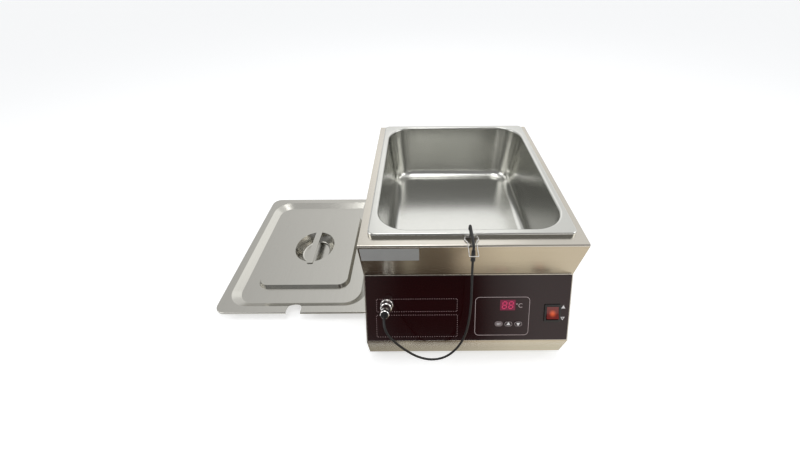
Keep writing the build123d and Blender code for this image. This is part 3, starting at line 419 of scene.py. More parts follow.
def surface(
    name, colour, dark, roughness, metallic=0.0, density=900.0, streak=(1, 1, 1), side_streak=None,
    grain=0.5, gloss_change=0.08, marks=0.06, mark_size=14.0, relief=0.05, coat=0.0, specular=0.5,
    glow=None, lamp=None, lamp_reach=5.0,
):
    """A procedural finish. streak stretches the grain; side_streak does so on faces that look along X.

    glow is a colour with a strength. With lamp, a place behind the surface, it fades out from there.
    """
    material, nodes, links = new_material(name)
    shader = nodes["Principled BSDF"]
    where = nodes.new("ShaderNodeTexCoord")
    fine = group_node(nodes, "Fine grain")
    fine.inputs["Density"].default_value = density
    fine.inputs["Contrast"].default_value = grain
    links.new(grain_vector(nodes, links, where, streak, side_streak), fine.inputs["Vector"])
    worn = group_node(nodes, "Handling marks")
    worn.inputs["Size"].default_value = mark_size
    worn.inputs["Amount"].default_value = marks
    links.new(where.outputs["Object"], worn.inputs["Vector"])
    shade = group_node(nodes, "Shade by grain")
    shade.inputs["Colour"].default_value = (*colour, 1)
    shade.inputs["Dark colour"].default_value = (*dark, 1)
    links.new(fine.outputs["Grain"], shade.inputs["Grain"])
    links.new(worn.outputs["Marks"], shade.inputs["Marks"])
    links.new(shade.outputs["Colour"], shader.inputs["Base Color"])
    gloss = nodes.new("ShaderNodeMapRange")
    gloss.inputs["To Min"].default_value = roughness - gloss_change / 2
    gloss.inputs["To Max"].default_value = roughness + gloss_change
    wear = calculate(nodes, links, "ADD", fine.outputs["Grain"], worn.outputs["Marks"])
    links.new(wear, gloss.inputs["Value"])
    links.new(gloss.outputs["Result"], shader.inputs["Roughness"])
    bump = nodes.new("ShaderNodeBump")
    bump.inputs["Strength"].default_value = relief
    bump.inputs["Distance"].default_value = RELIEF_DEPTH
    links.new(fine.outputs["Relief"], bump.inputs["Height"])
    links.new(bump.outputs["Normal"], shader.inputs["Normal"])
    shader.inputs["Metallic"].default_value = metallic
    shader.inputs["Coat Weight"].default_value = coat
    shader.inputs["Specular IOR Level"].default_value = specular
    if glow:
        shader.inputs["Emission Color"].default_value = (*glow[:3], 1)
        shader.inputs["Emission Strength"].default_value = glow[3]
    if lamp:
        spot = group_node(nodes, "Lamp behind")
        spot.inputs["Lamp"].default_value = lamp
        spot.inputs["Reach"].default_value = lamp_reach * MM
        spot.inputs["Colour"].default_value = (*glow[:3], 1)
        links.new(where.outputs["Object"], spot.inputs["Vector"])
        links.new(spot.outputs["Colour"], shader.inputs["Emission Color"])
    return material


# Rolled sheet has streaks along its length: across the front and the top, and along the sides
SHEET = (3, 260, 260)
SHEET_SIDE = (260, 3, 260)
# Behind the rocker's key, as (x, y, z) in millimetres
SWITCH_LAMP = (118.0, -195.6, 91.6)
FINISHES = {
    "casing_steel": dict(
        colour=(0.58, 0.55, 0.49), dark=(0.46, 0.43, 0.38), roughness=0.24, metallic=1.0, density=12.0,
        streak=SHEET, side_streak=SHEET_SIDE, grain=0.35, gloss_change=0.10, relief=0.05,
    ),
    "pan_steel": dict(
        colour=(0.60, 0.60, 0.57), dark=(0.49, 0.49, 0.46), roughness=0.24, metallic=1.0, density=700.0,
        grain=0.3, relief=0.04, mark_size=9.0,
    ),
    # Partly painted shade: the lid's steel is written darker than the pan's, for the dimmer room that the lid
    # mirrors; partly a duller sheet.
    "lid_steel": dict(
        colour=(0.52, 0.51, 0.47), dark=(0.42, 0.41, 0.375), roughness=0.24, metallic=1.0, density=12.0,
        streak=SHEET_SIDE, grain=0.3, relief=0.04, mark_size=9.0,
    ),
    "fascia_film": dict(
        colour=(0.0175, 0.0014, 0.0018), dark=(0.012, 0.0010, 0.0012), roughness=0.12, density=1400.0,
        grain=0.4, gloss_change=0.04, relief=0.02, marks=0.12,
    ),
    # The lens glows evenly: painted light, standing in for the display's light spread through it.
    "lens_tint": dict(
        colour=(0.05, 0.004, 0.012), dark=(0.035, 0.003, 0.008), roughness=0.14, density=900.0,
        grain=0.2, relief=0.01, glow=(0.15, 0.007, 0.038, 0.8),
    ),
    "black_plastic": dict(
        colour=(0.018, 0.018, 0.018), dark=(0.010, 0.010, 0.010), roughness=0.42, density=2600.0,
        grain=0.5, relief=0.12, marks=0.05,
    ),
    "white_key": dict(
        colour=(0.20, 0.155, 0.16), dark=(0.15, 0.115, 0.12), roughness=0.35, density=1800.0,
        grain=0.3, relief=0.03, coat=0.2,
    ),
    "red_key": dict(
        colour=(0.20, 0.010, 0.006), dark=(0.15, 0.007, 0.004), roughness=0.22, density=900.0,
        grain=0.2, relief=0.02, coat=0.3, glow=(0.80, 0.13, 0.03, 0.85),
        lamp=place(*SWITCH_LAMP), lamp_reach=6.5,
    ),
    "bright_metal": dict(
        colour=(0.74, 0.73, 0.71), dark=(0.62, 0.61, 0.58), roughness=0.14, metallic=1.0, density=1500.0,
        grain=0.2, gloss_change=0.05, relief=0.02,
    ),
    "screw_steel": dict(
        colour=(0.60, 0.60, 0.60), dark=(0.48, 0.48, 0.48), roughness=0.30, metallic=1.0, density=2500.0,
        grain=0.3, relief=0.05,
    ),
    "black_rubber": dict(
        colour=(0.014, 0.014, 0.014), dark=(0.009, 0.009, 0.009), roughness=0.55, density=3200.0,
        grain=0.6, relief=0.15, marks=0.1,
    ),
    "probe_steel": dict(
        colour=(0.60, 0.59, 0.57), dark=(0.48, 0.47, 0.45), roughness=0.22, metallic=1.0, density=1500.0,
        grain=0.3, relief=0.03,
    ),
    "inner_steel": dict(
        colour=(0.58, 0.58, 0.58), dark=(0.46, 0.46, 0.46), roughness=0.38, metallic=1.0, density=300.0,
        grain=0.5, relief=0.06,
    ),
    "wool": dict(
        colour=(0.50, 0.44, 0.30), dark=(0.34, 0.29, 0.18), roughness=0.95, density=240.0,
        streak=(1, 1, 6), grain=0.9, relief=0.6, specular=0.1,
    ),
    "board_green": dict(
        colour=(0.015, 0.10, 0.045), dark=(0.010, 0.07, 0.03), roughness=0.35, density=420.0,
        streak=(1, 12, 12), grain=0.5, relief=0.05, coat=0.2,
    ),
    "element_sheath": dict(
        colour=(0.30, 0.25, 0.21), dark=(0.14, 0.12, 0.13), roughness=0.42, metallic=1.0, density=90.0,
        grain=0.8, relief=0.08, marks=0.5, mark_size=40.0,
    ),
    "brass_contact": dict(
        colour=(0.72, 0.50, 0.20), dark=(0.55, 0.36, 0.13), roughness=0.30, metallic=1.0, density=1400.0,
        grain=0.3, relief=0.03,
    ),
    "relay_blue": dict(
        colour=(0.02, 0.06, 0.22), dark=(0.015, 0.045, 0.17), roughness=0.35, density=1800.0,
        grain=0.3, relief=0.05,
    ),
    "transformer_yellow": dict(
        colour=(0.52, 0.38, 0.07), dark=(0.40, 0.28, 0.05), roughness=0.45, density=500.0,
        streak=(1, 1, 8), grain=0.5, relief=0.08,
    ),
    "dark_key": dict(
        colour=(0.030, 0.016, 0.018), dark=(0.022, 0.011, 0.013), roughness=0.25, density=1800.0,
        grain=0.3, relief=0.03,
    ),
    "dot_print": dict(
        colour=(0.45, 0.33, 0.33), dark=(0.36, 0.26, 0.26), roughness=0.5, density=2500.0,
        grain=0.4, relief=0.02,
    ),
    "outline_print": dict(
        colour=(0.52, 0.42, 0.42), dark=(0.44, 0.35, 0.35), roughness=0.5, density=2500.0,
        grain=0.4, relief=0.02,
    ),
    "white_print": dict(
        colour=(0.88, 0.85, 0.84), dark=(0.78, 0.75, 0.74), roughness=0.5, density=2500.0,
        grain=0.3, relief=0.02,
    ),
    "digit_light": dict(
        colour=(0.20, 0.01, 0.04), dark=(0.16, 0.008, 0.03), roughness=0.4, density=2500.0,
        grain=0.2, relief=0.01, glow=(0.42, 0.016, 0.08, 0.9),
    ),
    "plate_foil": dict(
        colour=(0.42, 0.42, 0.41), dark=(0.35, 0.35, 0.34), roughness=0.5, metallic=0.15, density=900.0,
        grain=0.4, relief=0.03,
    ),
}


def finish_of(slot):
    """The finish of a slot. Its name differs from the plain material that the frame holds."""
    name = slot + "_finish"
    return bpy.data.materials.get(name) or surface(name, **FINISHES[slot])


# Settings


class TemperingSizes(bpy.types.PropertyGroup):
    """Sizes of the print, the cable and the plug's ring, and what the display reads"""

    line: FloatProperty(
        name="Line", description="Width of a printed line on the panel", default=0.7 * MM, unit="LENGTH"
    )
    dot: FloatProperty(
        name="Dot", description="Size of one dot of the dotted frames", default=1.0 * MM, unit="LENGTH"
    )
    dot_pitch: FloatProperty(
        name="Dot pitch", description="From one dot to the next", default=3.3 * MM, unit="LENGTH"
    )
    print_height: FloatProperty(
        name="Print height", description="How far print stands off the film",
        default=0.06 * MM, unit="LENGTH",
    )
    cable: FloatProperty(
        name="Cable diameter", description="Outer diameter of the probe cable",
        default=3 * MM, unit="LENGTH",
    )
    cable_length: FloatProperty(
        name="Cable length", description="Real length of the probe cable",
        default=295 * MM, unit="LENGTH",
    )
    reading: StringProperty(
        name="Reading", description="Digits that the display shows", default="88"
    )
    knurls: IntProperty(
        name="Knurls", description="Grooves round the plug's screw ring", default=28, min=8, max=60
    )


class TemperingColours(bpy.types.PropertyGroup):
    """Colours of the stage"""

    backdrop: FloatVectorProperty(
        name="Backdrop", description="Colour of the floor and the background", subtype="COLOR",
        size=3, default=(1.0, 1.0, 1.0), min=0.0, max=1.0,
    )
    room: FloatVectorProperty(
        name="Room light", description="Colour of the soft light from all round", subtype="COLOR",
        size=3, default=(0.86, 0.88, 0.90), min=0.0, max=1.0,
    )


class DressPiece:
    """What all steps share"""

    bl_options = {"REGISTER", "UNDO"}


# The probe cable

# Its route from the plug to the probe's boot, as (x, y, z) in millimetres
CABLE_POINTS = [
    (-112.6, -212.15, 113.84),
    (-112.6, -224.0, 122.2),
    (-110.5, -235.5, 117.5),
    (-105.0, -239.5, 105.5),
    (-96.0, -240.0, 90.5),
    (-84.0, -239.5, 72.5),
    (-69.0, -238.5, 55.0),
    (-50.5, -236.5, 44.0),
    (-31.5, -234.0, 46.5),
    (-16.5, -230.0, 61.5),
    (-6.5, -224.5, 83.0),
    (-2.5, -217.5, 108.5),
    (-1.2, -209.5, 135.0),
    (-1.5, -200.0, 159.0),
    (-1.8, -191.14, 177.39),
    (-1.8, -188.07, 189.71),
]


class TEMPERING_OT_cable(DressPiece, bpy.types.Operator):
    """Makes the probe cable that sags in front of the panel, from its plug up to the probe's boot"""

    bl_idname = "tempering.cable"
    bl_label = "Probe cable"

    def execute(self, context):
        sizes = context.scene.tempering_sizes
        mesh, path = self.tube(context, sizes.cable / 2)
        mesh.materials.clear()
        mesh.materials.append(finish_of("black_rubber"))
        cable = linked("probe_cable_jacket", mesh)
        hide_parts("probe_cable")
        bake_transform(cable)
        return {"FINISHED"}

    def tube(self, context, radius):
        """The cable's mesh, and the points along its middle."""
        curve = bpy.data.curves.new("cable_route", "CURVE")
        curve.dimensions = "3D"
        curve.resolution_u = 10
        spline = curve.splines.new("NURBS")
        spline.points.add(len(CABLE_POINTS) - 1)
        for point, where in zip(spline.points, CABLE_POINTS):
            point.co = (*place(*where), 1)
        spline.order_u = 3
        spline.use_endpoint_u = True
        route = linked("cable_route", curve)
        context.view_layer.update()
        line = bpy.data.meshes.new_from_object(route)
        path = [v.co.copy() for v in line.vertices]
        curve.bevel_depth = radius
        curve.bevel_resolution = 5
        curve.use_fill_caps = True
        context.view_layer.update()
        graph = context.evaluated_depsgraph_get()
        mesh = bpy.data.meshes.new_from_object(route.evaluated_get(graph))
        mesh.name = "probe_cable_jacket"
        bpy.data.objects.remove(route)
        bm = bmesh.new()
        bm.from_mesh(mesh)
        bmesh.ops.remove_doubles(bm, verts=bm.verts, dist=MESH_WELD)
        bmesh.ops.recalc_face_normals(bm, faces=bm.faces)
        smooth_by_angle(bm, degrees=50)
        bm.to_mesh(mesh)
        bm.free()
        return mesh, path


# Pieces with rounded shading

FEET = ("front_left", "front_right", "rear_left", "rear_right")
# Each node's new name, and the angle in degrees up to which its edges are smooth
WELDED = {
    "pan": ("pan_drawn", 28),
    "lid": ("lid_pressed", 28),
    "lid_handle": ("lid_handle_strap", 28),
    "casing": ("casing_folded", 28),
    "probe_tube": ("probe_stem", 40),
    "probe_sleeve": ("probe_sleeve_skin", 40),
    "probe_boot": ("probe_boot_skin", 40),
    "clip_body": ("clip_spring", 35),
    "clip_lever_front": ("clip_wire_front", 50),
    "clip_lever_back": ("clip_wire_back", 50),
    "probe_plug": ("probe_plug_shell", 35),
    "probe_socket": ("probe_socket_shell", 35),
    "set_key": ("set_key_cap", 35),
    "up_key": ("up_key_cap", 35),
    "down_key": ("down_key_cap", 35),
    "rocker_body": ("rocker_bezel", 35),
    "rocker_key": ("rocker_key_cap", 35),
    **{"foot_" + corner: ("foot_rubber_" + corner, 35) for corner in FEET},
    "heating_well": ("well_drawn", 28),
    "heating_element": ("element_rod", 50),
    "base_screws": ("base_screw_heads", 40),
    "cover_screws": ("cover_screw_heads", 40),
    "inlet_screws": ("inlet_screw_heads", 40),
}


class TEMPERING_OT_welded_copies(DressPiece, bpy.types.Operator):
    """Lets welded copies with rounded shading stand for the nodes whose faces are curved"""

    bl_idname = "tempering.welded_copies"
    bl_label = "Curved pieces"

    def execute(self, context):
        for node, (name, degrees) in WELDED.items():
            refine(node, name, degrees)
        self.blacken_plug()
        return {"FINISHED"}

    def blacken_plug(self):
        """The plug's neck and the mouth that the cable leaves by are black."""
        neck_radius, neck_start = 5.3, 21
        mesh = bpy.data.objects["probe_plug_shell"].data
        mesh.materials.append(finish_of("black_rubber"))
        to_plug = on_panel(*PLUG_PLACE, 0).inverted()
        for face in mesh.polygons:
            spot = to_plug @ face.center
            reach = math.hypot(spot.x, spot.y)
            if reach < neck_radius * MM and spot.z > neck_start * MM:
                face.material_index = 1


class TEMPERING_OT_plug_ring(DressPiece, bpy.types.Operator):
    """Makes the plug's screw ring with grooves for the fingers"""

    bl_idname = "tempering.plug_ring"
    bl_label = "Plug ring"

    def execute(self, context):
        steps_each = 4
        segments = context.scene.tempering_sizes.knurls * steps_each
        start, long, outer, inner = 3.3, 10.0, 7.75, 6.1
        chamfer, easing, chamfer_long, flank = 0.9, 0.1, 0.7, 1.2
        groove_depth, skin = 0.28, 0.05
        profile = [
            (outer - chamfer, 0.0),
            (outer - easing, chamfer_long),
            (outer, flank),
            (outer, long - flank),
            (outer - easing, long - chamfer_long),
            (outer - chamfer, long),
            (inner, long),
            (inner, 0.0),
        ]

        def build(bm):
            bmesh.ops.create_circle(bm, cap_ends=False, segments=segments, radius=inner * MM)
            edges = bm.edges[:]
            radius, height = inner, 0.0
            for next_radius, next_height in profile:
                grown = bmesh.ops.extrude_edge_only(bm, edges=edges)["geom"]
                verts = [v for v in grown if isinstance(v, bmesh.types.BMVert)]
                edges = [e for e in grown if isinstance(e, bmesh.types.BMEdge)]
                ratio = next_radius / radius
                bmesh.ops.scale(bm, vec=(ratio, ratio, 1), verts=verts)
                bmesh.ops.translate(bm, vec=(0, 0, (next_height - height) * MM), verts=verts)
                radius, height = next_radius, next_height
            bmesh.ops.remove_doubles(bm, verts=bm.verts, dist=MESH_WELD)
            for vert in bm.verts:
                reach = math.hypot(vert.co.x, vert.co.y)
                turn = math.atan2(vert.co.y, vert.co.x) / (2 * math.pi) * segments
                if reach > (outer - skin) * MM and round(turn) % steps_each == 0:
                    groove = 1 - groove_depth / outer
                    vert.co.x *= groove
                    vert.co.y *= groove
            bmesh.ops.recalc_face_normals(bm, faces=bm.faces)
            bmesh.ops.transform(bm, matrix=on_panel(*PLUG_PLACE, start), verts=bm.verts)
            smooth_by_angle(bm, degrees=20)

        piece = new_piece("plug_ring_knurled", "casing", "bright_metal", build)
        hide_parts("plug_ring")
        return {"FINISHED"}


class TEMPERING_OT_panel_print(DressPiece, bpy.types.Operator):
    """Prints the dotted frames, the outline round the controls and the switch's triangles on the film"""

    bl_idname = "tempering.panel_print"
    bl_label = "Panel print"

    def execute(self, context):
        sizes = context.scene.tempering_sizes
        dot, pitch, line = sizes.dot / MM, sizes.dot_pitch / MM, sizes.line / MM
        dot_corner, outline_corner, sign_radius, sign_line = dot * 0.3, 6, 3.4, line * 1.3
        level = print_level()

        def dotted(bm):
            for left, right, top, foot in DOTTED_FRAMES:
                runs = [
                    ((left, top), (1, 0), right - left),
                    ((right, top), (0, 1), foot - top),
                    ((right, foot), (-1, 0), right - left),
                    ((left, foot), (0, -1), foot - top),
                ]
                for (u, v), (du, dv), length in runs:
                    count = round(length / pitch)
                    for step in range(count):
                        along = (step + 0.5) * length / count
                        matrix = on_panel(u + du * along, v + dv * along, level)
                        flat_rounded(bm, dot, dot, dot_corner, matrix, segments=1)

        def outline(bm):
            left, right, top, foot = CONTROLS_OUTLINE
            matrix = on_panel((left + right) / 2, (top + foot) / 2, level)
            ring_line(bm, right - left, foot - top, outline_corner, line, matrix)

        def triangles(bm):
            full, open_one = (on_panel(*spot, level) for spot in SWITCH_SIGNS)
            triangle(bm, sign_radius, full)
            hollow_out(bm, triangle(bm, sign_radius, open_one @ HALF_TURN), sign_line)

        new_piece("dotted_frames", "casing", "fascia_film", dotted, finish_of("dot_print"))
        new_piece("controls_outline", "casing", "fascia_film", outline, finish_of("outline_print"))
        new_piece("switch_triangles", "casing", "fascia_film", triangles, finish_of("white_print"))
        return {"FINISHED"}


def lettering(name, text, height, matrix, body, finish, bold):
    """Generic lettering, made a mesh before it is put in place."""
    curve = bpy.data.curves.new(name, "FONT")
    curve.body = text
    curve.size = height * MM
    curve.align_x = "CENTER"
    curve.align_y = "CENTER"
    curve.offset = bold * MM
    source = linked(name + "_source", curve)
    bpy.context.view_layer.update()
    mesh = bpy.data.meshes.new_from_object(source)
    bpy.data.objects.remove(source)
    mesh.name = name
    mesh.transform(matrix)
    mesh.materials.clear()
    mesh.materials.append(finish_of(finish))
    piece = linked(name, mesh)
    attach(piece, body)


class TEMPERING_OT_legends(DressPiece, bpy.types.Operator):
    """Puts the degree sign beside the display and the signs on the keys"""

    bl_idname = "tempering.legends"
    bl_label = "Key signs"

    def execute(self, context):
        degree_height, set_height = 8.8, 3.4
        lettering(
            "degree_sign", "°C", degree_height, on_panel(*DEGREE_PLACE, print_level()),
            "casing", "outline_print", bold=0.03,
        )
        cap = print_level(KEY_RISE)
        lettering(
            "set_sign", "SET", set_height, on_panel(*SET_KEY, cap),
            "set_button", "white_print", bold=0.06,
        )
        self.arrow_key("up", on_panel(*UP_KEY, cap), UPRIGHT)
        self.arrow_key("down", on_panel(*DOWN_KEY, cap), HALF_TURN)
        return {"FINISHED"}

    def arrow_key(self, name, matrix, turn):
        """A triangle and a rim on an oval key."""
        radius = 3.2
        width, height, corner, line = 10.6, 6.8, 3.3, 0.45

        def sign(bm):
            triangle(bm, radius, matrix @ turn)

        def rim(bm):
            ring_line(bm, width, height, corner, line, matrix)

        body = name + "_button"
        new_piece(name + "_sign", body, "dark_key", sign, finish_of("white_print"))
        new_piece(name + "_rim", body, "dark_key", rim, finish_of("outline_print"))


# The bars that each digit lights, by the usual letters of a display with seven bars
SEGMENTS = {
    "0": "abcdef", "1": "bc", "2": "abged", "3": "abgcd", "4": "fgbc", "5": "afgcd", "6": "afgedc",
    "7": "abc", "8": "abcdefg", "9": "abcdfg",
}


class TEMPERING_OT_digits(DressPiece, bpy.types.Operator):
    """Lights the display's digits behind the red lens"""

    bl_idname = "tempering.digits"
    bl_label = "Digits"

    def execute(self, context):
        reading = context.scene.tempering_sizes.reading
        tall, wide, bar, pitch, lean = 10.0, 5.4, 1.7, 9.0, math.radians(7)
        bar_gap, bar_corner = bar * 0.7, bar * 0.35
        centres = {
            "a": (0, tall / 2, 0), "g": (0, 0, 0), "d": (0, -tall / 2, 0),
            "f": (-wide / 2, tall / 4, 90), "b": (wide / 2, tall / 4, 90),
            "e": (-wide / 2, -tall / 4, 90), "c": (wide / 2, -tall / 4, 90),
        }
        slant = Matrix.Identity(4)
        slant[0][1] = math.tan(lean)
        display = on_panel(*DIGITS_PLACE, print_level()) @ slant

        def build(bm):
            for number, digit in enumerate(reading):
                shift = (number - (len(reading) - 1) / 2) * pitch
                for key in SEGMENTS[digit]:
                    x, y, turn = centres[key]
                    long = (tall / 2 if turn else wide) - bar_gap
                    spot = Matrix.Translation(((x + shift) * MM, y * MM, 0))
                    turned = spot @ Matrix.Rotation(math.radians(turn), 4, "Z")
                    flat_rounded(bm, long, bar, bar_corner, display @ turned, segments=2)

        new_piece("display_digits", "casing", "lens_tint", build, finish_of("digit_light"))
        return {"FINISHED"}


class TEMPERING_OT_bare_plate(DressPiece, bpy.types.Operator):
    """Puts the bare silver plate on the strip above the panel"""

    bl_idname = "tempering.bare_plate"
    bl_label = "Bare plate"

    def execute(self, context):
        across, down, glue = -104.0, 17.0, 0.05
        width, height, corner, thick = 74.0, 25.0, 1.2, 0.25

        def build(bm):
            matrix = slope_matrix(STRIP_TOP, PANEL_TOP, across, down, glue)
            faces = flat_rounded(bm, width, height, corner, matrix)
            facing = matrix.to_3x3() @ Vector((0, 0, 1))
            grown = bmesh.ops.extrude_face_region(bm, geom=faces)["geom"]
            verts = [v for v in grown if isinstance(v, bmesh.types.BMVert)]
            bmesh.ops.translate(bm, vec=facing * thick * MM, verts=verts)
            bmesh.ops.recalc_face_normals(bm, faces=bm.faces)

        new_piece("bare_plate", "casing", "casing_steel", build, finish_of("plate_foil"))
        return {"FINISHED"}


class TEMPERING_OT_finishes(DressPiece, bpy.types.Operator):
    """Gives each node the finish of its slot"""

    bl_idname = "tempering.finishes"
    bl_label = "Finishes"

    def execute(self, context):
        for name, node in frame["nodes"].items():
            node.data.materials.clear()
            node.data.materials.append(finish_of(SLOTS[name]))
        return {"FINISHED"}


# Stage

# The camera's place in millimetres, angles in radians and lens in millimetres
CAMERA_PLACE = (-64.32, -478.20, 484.69)
CAMERA_PITCH, CAMERA_YAW, CAMERA_ROLL = 0.7139, 0.0009, -0.0063
SENSOR_WIDTH, FOCAL_LENGTH, SIDE_SHIFT = 36.0, 15.30, -0.0267
NEAREST = 10 * MM

# Each lamp's place in millimetres, width in metres and power in watts
LAMPS = {
    "softbox_above": ((-100, -150, 1500), 0.6, 3.5),
    "softbox_left": ((-1200, -300, 900), 0.7, 3.5),
    "softbox_right": ((1300, -300, 900), 0.7, 3.5),
    "softbox_back": ((100, 1300, 1300), 1.0, 1.4),
}
LAMP_TARGET = (0, 0, 100)

# What the strip mirrors, the counter in front of the machine, as (share of the width, colour)
COUNTER = [
    (0.12, (0.060, 0.046, 0.038)),
    (0.29, (0.130, 0.102, 0.078)),
    (0.32, (0.42, 0.38, 0.30)),
    (0.35, (0.18, 0.145, 0.105)),
    (0.44, (0.18, 0.140, 0.100)),
    (0.50, (0.66, 0.56, 0.43)),
    (0.62, (0.92, 0.82, 0.64)),
    (1.00, (0.95, 0.85, 0.70)),
]
# What the toe mirrors, the counter under the machine
UNDER_TOE = [
    (0.12, (0.32, 0.30, 0.25)),
    (0.45, (0.58, 0.54, 0.45)),
    (0.60, (0.80, 0.75, 0.62)),
    (1.00, (1.00, 0.96, 0.80)),
]
# What the film mirrors, the room far in front of the machine
FRONT = [
    (0.00, (0.30, 0.28, 0.26)),
    (0.10, (0.26, 0.24, 0.23)),
    (0.20, (0.06, 0.05, 0.05)),
    (0.44, (0.05, 0.04, 0.04)),
    (0.50, (0.55, 0.52, 0.50)),
    (0.62, (1.00, 0.96, 0.93)),
    (1.00, (1.00, 0.96, 0.93)),
]
# Each card's place in millimetres, size in metres, tilt in degrees and colours
CARDS = {
    "front_card": ((310, -1475, 400), (1.6, 0.8), 90, FRONT),
    "counter_card": ((20, -428, 1), (0.60, 0.42), 0, COUNTER),
    "toe_card": ((20, -139, 1), (0.60, 0.155), 0, UNDER_TOE),
}

FLOOR_SIZE = (12.0, 12.0)
FLOOR_SINK = 0.2 * MM
FLOOR_TONE = 0.8
FLOOR_GLOW = 0.5
ROOM_LIGHT = 0.6
# Each axis with where the room is dim, where it is bright, and how bright the dim side is
ROOM_FADES = (("Y", -0.60, 0.10, 0.30), ("X", -0.60, -0.10, 0.70))


def flat_sheet(name, size, matrix):
    """A rectangle for the stage."""

    def build(bm):
        bmesh.ops.create_grid(bm, x_segments=1, y_segments=1, size=0.5)
        bmesh.ops.scale(bm, vec=(*size, 1), verts=bm.verts)
        bmesh.ops.transform(bm, matrix=matrix, verts=bm.verts)

    return new_mesh(name, build)


class TEMPERING_OT_stage(DressPiece, bpy.types.Operator):
    """Makes the camera, the pale floor, the soft studio light and the room"""

    bl_idname = "tempering.stage"
    bl_label = "Stage"

    def execute(self, context):
        scene = context.scene
        colours = scene.tempering_colours
        scene.view_settings.view_transform = "Standard"
        self.add_camera(scene)
        floor = flat_sheet("floor", FLOOR_SIZE, Matrix.Translation((0, 0, -FLOOR_SINK)))
        floor.data.materials.append(self.floor_finish(colours.backdrop))
        for name, (where, size, power) in LAMPS.items():
            self.add_lamp(name, place(*where), size, power)
        for name, (where, size, tilt, stops) in CARDS.items():
            self.add_card(name, place(*where), size, math.radians(tilt), stops)
        self.light_room(colours)
        return {"FINISHED"}

    def add_camera(self, scene):
        """The photo's camera, from a fit to the corners of the casing and the pan."""
        lens = bpy.data.cameras.new("camera")
        lens.sensor_width = SENSOR_WIDTH
        lens.lens = FOCAL_LENGTH
        lens.shift_x = SIDE_SHIFT
        lens.clip_start = NEAREST
        camera = linked("camera", lens)
        pitch, yaw, roll = CAMERA_PITCH, CAMERA_YAW, CAMERA_ROLL
        forward = Vector(
            (math.sin(yaw) * math.cos(pitch), math.cos(yaw) * math.cos(pitch), -math.sin(pitch))
        )
        across = Vector((math.cos(yaw), -math.sin(yaw), 0))
        up = across.cross(forward)
        turned_across = math.cos(roll) * across + math.sin(roll) * up
        turned_up = math.cos(roll) * up - math.sin(roll) * across
        turn = Matrix((turned_across, turned_up, -forward)).transposed().to_4x4()
        camera.matrix_world = Matrix.Translation(place(*CAMERA_PLACE)) @ turn
        scene.camera = camera

    def add_lamp(self, name, where, size, power):
        """A square lamp that looks at the machine."""
        lamp = bpy.data.lights.new(name, "AREA")
        lamp.shape = "SQUARE"
        lamp.size = size
        lamp.energy = power
        holder = linked(name, lamp)
        aim = (place(*LAMP_TARGET) - where).to_track_quat("-Z", "Y").to_matrix().to_4x4()
        holder.matrix_world = Matrix.Translation(where) @ aim
        holder.visible_camera = False

    def add_card(self, name, where, size, tilt, stops):
        """A card that only shows in gloss. stops are (share of the width, colour) from the left."""
        card = flat_sheet(name, size, Matrix.Translation(where) @ Matrix.Rotation(tilt, 4, "X"))
        card.visible_camera = False
        card.visible_diffuse = False
        card.visible_shadow = False
        card.visible_transmission = False
        material, nodes, links = new_material(name)
        nodes.remove(nodes["Principled BSDF"])
        where_on = nodes.new("ShaderNodeTexCoord")
        split = nodes.new("ShaderNodeSeparateXYZ")
        span = nodes.new("ShaderNodeMapRange")
        span.inputs["From Min"].default_value = where.x - size[0] / 2
        span.inputs["From Max"].default_value = where.x + size[0] / 2
        ramp = nodes.new("ShaderNodeValToRGB")
        shades = ramp.color_ramp.elements
        for number, (share, colour) in enumerate(stops):
            stop = shades[number] if number < len(shades) else shades.new(share)
            stop.position = share
            stop.color = (*colour, 1)
        while len(shades) > len(stops):
            shades.remove(shades[-1])
        glow = nodes.new("ShaderNodeEmission")
        links.new(where_on.outputs["Object"], split.inputs["Vector"])
        links.new(split.outputs["X"], span.inputs["Value"])
        links.new(span.outputs["Result"], ramp.inputs["Fac"])
        links.new(ramp.outputs["Color"], glow.inputs["Color"])
        links.new(glow.outputs[0], nodes["Material Output"].inputs["Surface"])
        card.data.materials.append(material)

    def seen_directly(self, nodes, links):
        """1 for rays from the camera, off gloss and through glass, which all show the background."""
        rays = nodes.new("ShaderNodeLightPath")
        seen = rays.outputs["Is Camera Ray"]
        for other in ("Is Glossy Ray", "Is Transmission Ray"):
            seen = calculate(nodes, links, "MAXIMUM", seen, rays.outputs[other])
        return seen

    def floor_finish(self, colour):
        """Paper that takes shadows and glows a little, so that it comes out as pale as the room."""
        material, nodes, links = new_material("floor_paper")
        shader = nodes["Principled BSDF"]
        shader.inputs["Base Color"].default_value = (*[c * FLOOR_TONE for c in colour], 1)
        shader.inputs["Roughness"].default_value = 0.9
        shader.inputs["Specular IOR Level"].default_value = 0.1
        glow = nodes.new("ShaderNodeEmission")
        glow.inputs["Color"].default_value = (*colour, 1)
        glow.inputs["Strength"].default_value = FLOOR_GLOW
        add = nodes.new("ShaderNodeAddShader")
        mix = nodes.new("ShaderNodeMixShader")
        links.new(self.seen_directly(nodes, links), mix.inputs["Fac"])
        links.new(shader.outputs[0], add.inputs[0])
        links.new(glow.outputs[0], add.inputs[1])
        links.new(shader.outputs[0], mix.inputs[1])
        links.new(add.outputs[0], mix.inputs[2])
        links.new(mix.outputs[0], nodes["Material Output"].inputs["Surface"])
        return material

    def room_side(self, nodes, links):
        """How bright the room is to metal and glass: pale at the back, dim at the front and the left."""
        where = nodes.new("ShaderNodeTexCoord")
        split = nodes.new("ShaderNodeSeparateXYZ")
        links.new(where.outputs["Generated"], split.inputs["Vector"])
        fades = []
        for axis, dim_at, bright_at, dim in ROOM_FADES:
            fade = nodes.new("ShaderNodeMapRange")
            fade.interpolation_type = "SMOOTHSTEP"
            fade.inputs["From Min"].default_value = dim_at
            fade.inputs["From Max"].default_value = bright_at
            fade.inputs["To Min"].default_value = dim
            links.new(split.outputs[axis], fade.inputs["Value"])
            fades.append(fade.outputs["Result"])
        return calculate(nodes, links, "MULTIPLY", *fades)

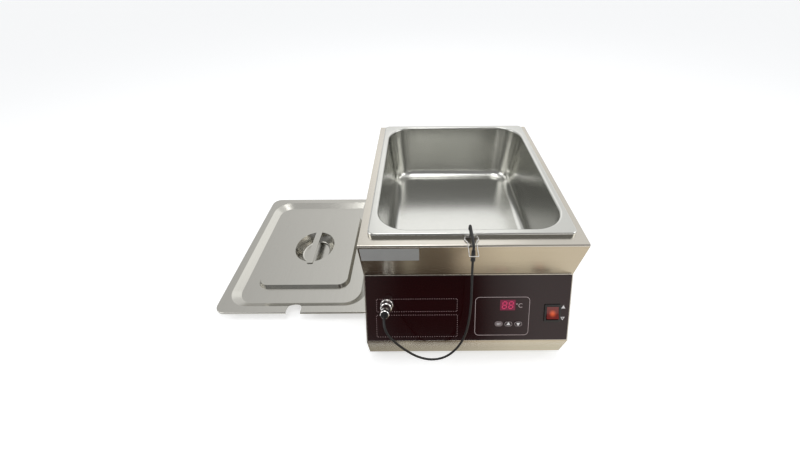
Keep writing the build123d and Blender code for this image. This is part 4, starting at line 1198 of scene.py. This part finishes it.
    def light_room(self, colours):
        """The light from all round, and the pale background."""
        world = bpy.data.worlds.new("room")
        world.use_nodes = True
        nodes, links = world.node_tree.nodes, world.node_tree.links
        light = nodes["Background"]
        light.inputs["Color"].default_value = (*colours.room, 1)
        light.inputs["Strength"].default_value = ROOM_LIGHT
        seen = nodes.new("ShaderNodeBackground")
        seen.inputs["Color"].default_value = (*colours.backdrop, 1)
        rays = nodes.new("ShaderNodeLightPath")
        side = self.room_side(nodes, links)
        bright = calculate(nodes, links, "MAXIMUM", rays.outputs["Is Camera Ray"], side)
        links.new(bright, seen.inputs["Strength"])
        mix = nodes.new("ShaderNodeMixShader")
        links.new(self.seen_directly(nodes, links), mix.inputs["Fac"])
        links.new(light.outputs[0], mix.inputs[1])
        links.new(seen.outputs[0], mix.inputs[2])
        links.new(mix.outputs[0], nodes["World Output"].inputs["Surface"])
        world.cycles.sampling_method = "NONE"
        bpy.context.scene.world = world


# The add-on


class TEMPERING_PT_sidebar(bpy.types.Panel):
    """Shows the settings and a button for each step"""

    bl_idname = "TEMPERING_PT_sidebar"
    bl_label = "Tempering machine"
    bl_space_type = "VIEW_3D"
    bl_region_type = "UI"
    bl_category = "Tempering"

    def draw(self, context):
        layout = self.layout
        for settings in (context.scene.tempering_sizes, context.scene.tempering_colours):
            for key in settings.bl_rna.properties.keys():
                if key not in ("rna_type", "name"):
                    layout.prop(settings, key)
        for step in STEPS:
            layout.operator(step.bl_idname)


STEPS = (
    TEMPERING_OT_finishes,
    TEMPERING_OT_welded_copies,
    TEMPERING_OT_plug_ring,
    TEMPERING_OT_cable,
    TEMPERING_OT_panel_print,
    TEMPERING_OT_legends,
    TEMPERING_OT_digits,
    TEMPERING_OT_bare_plate,
    TEMPERING_OT_stage,
)
CLASSES = (TemperingSizes, TemperingColours, *STEPS, TEMPERING_PT_sidebar)


def register():
    for cls in CLASSES:
        bpy.utils.register_class(cls)
    bpy.types.Scene.tempering_sizes = PointerProperty(type=TemperingSizes)
    bpy.types.Scene.tempering_colours = PointerProperty(type=TemperingColours)


def unregister():
    del bpy.types.Scene.tempering_colours
    del bpy.types.Scene.tempering_sizes
    for cls in reversed(CLASSES):
        bpy.utils.unregister_class(cls)


def main():
    """Runs every step."""
    register()
    for step in STEPS:
        category, action = step.bl_idname.split(".")
        getattr(getattr(bpy.ops, category), action)()


if __name__ == "__main__":
    main()
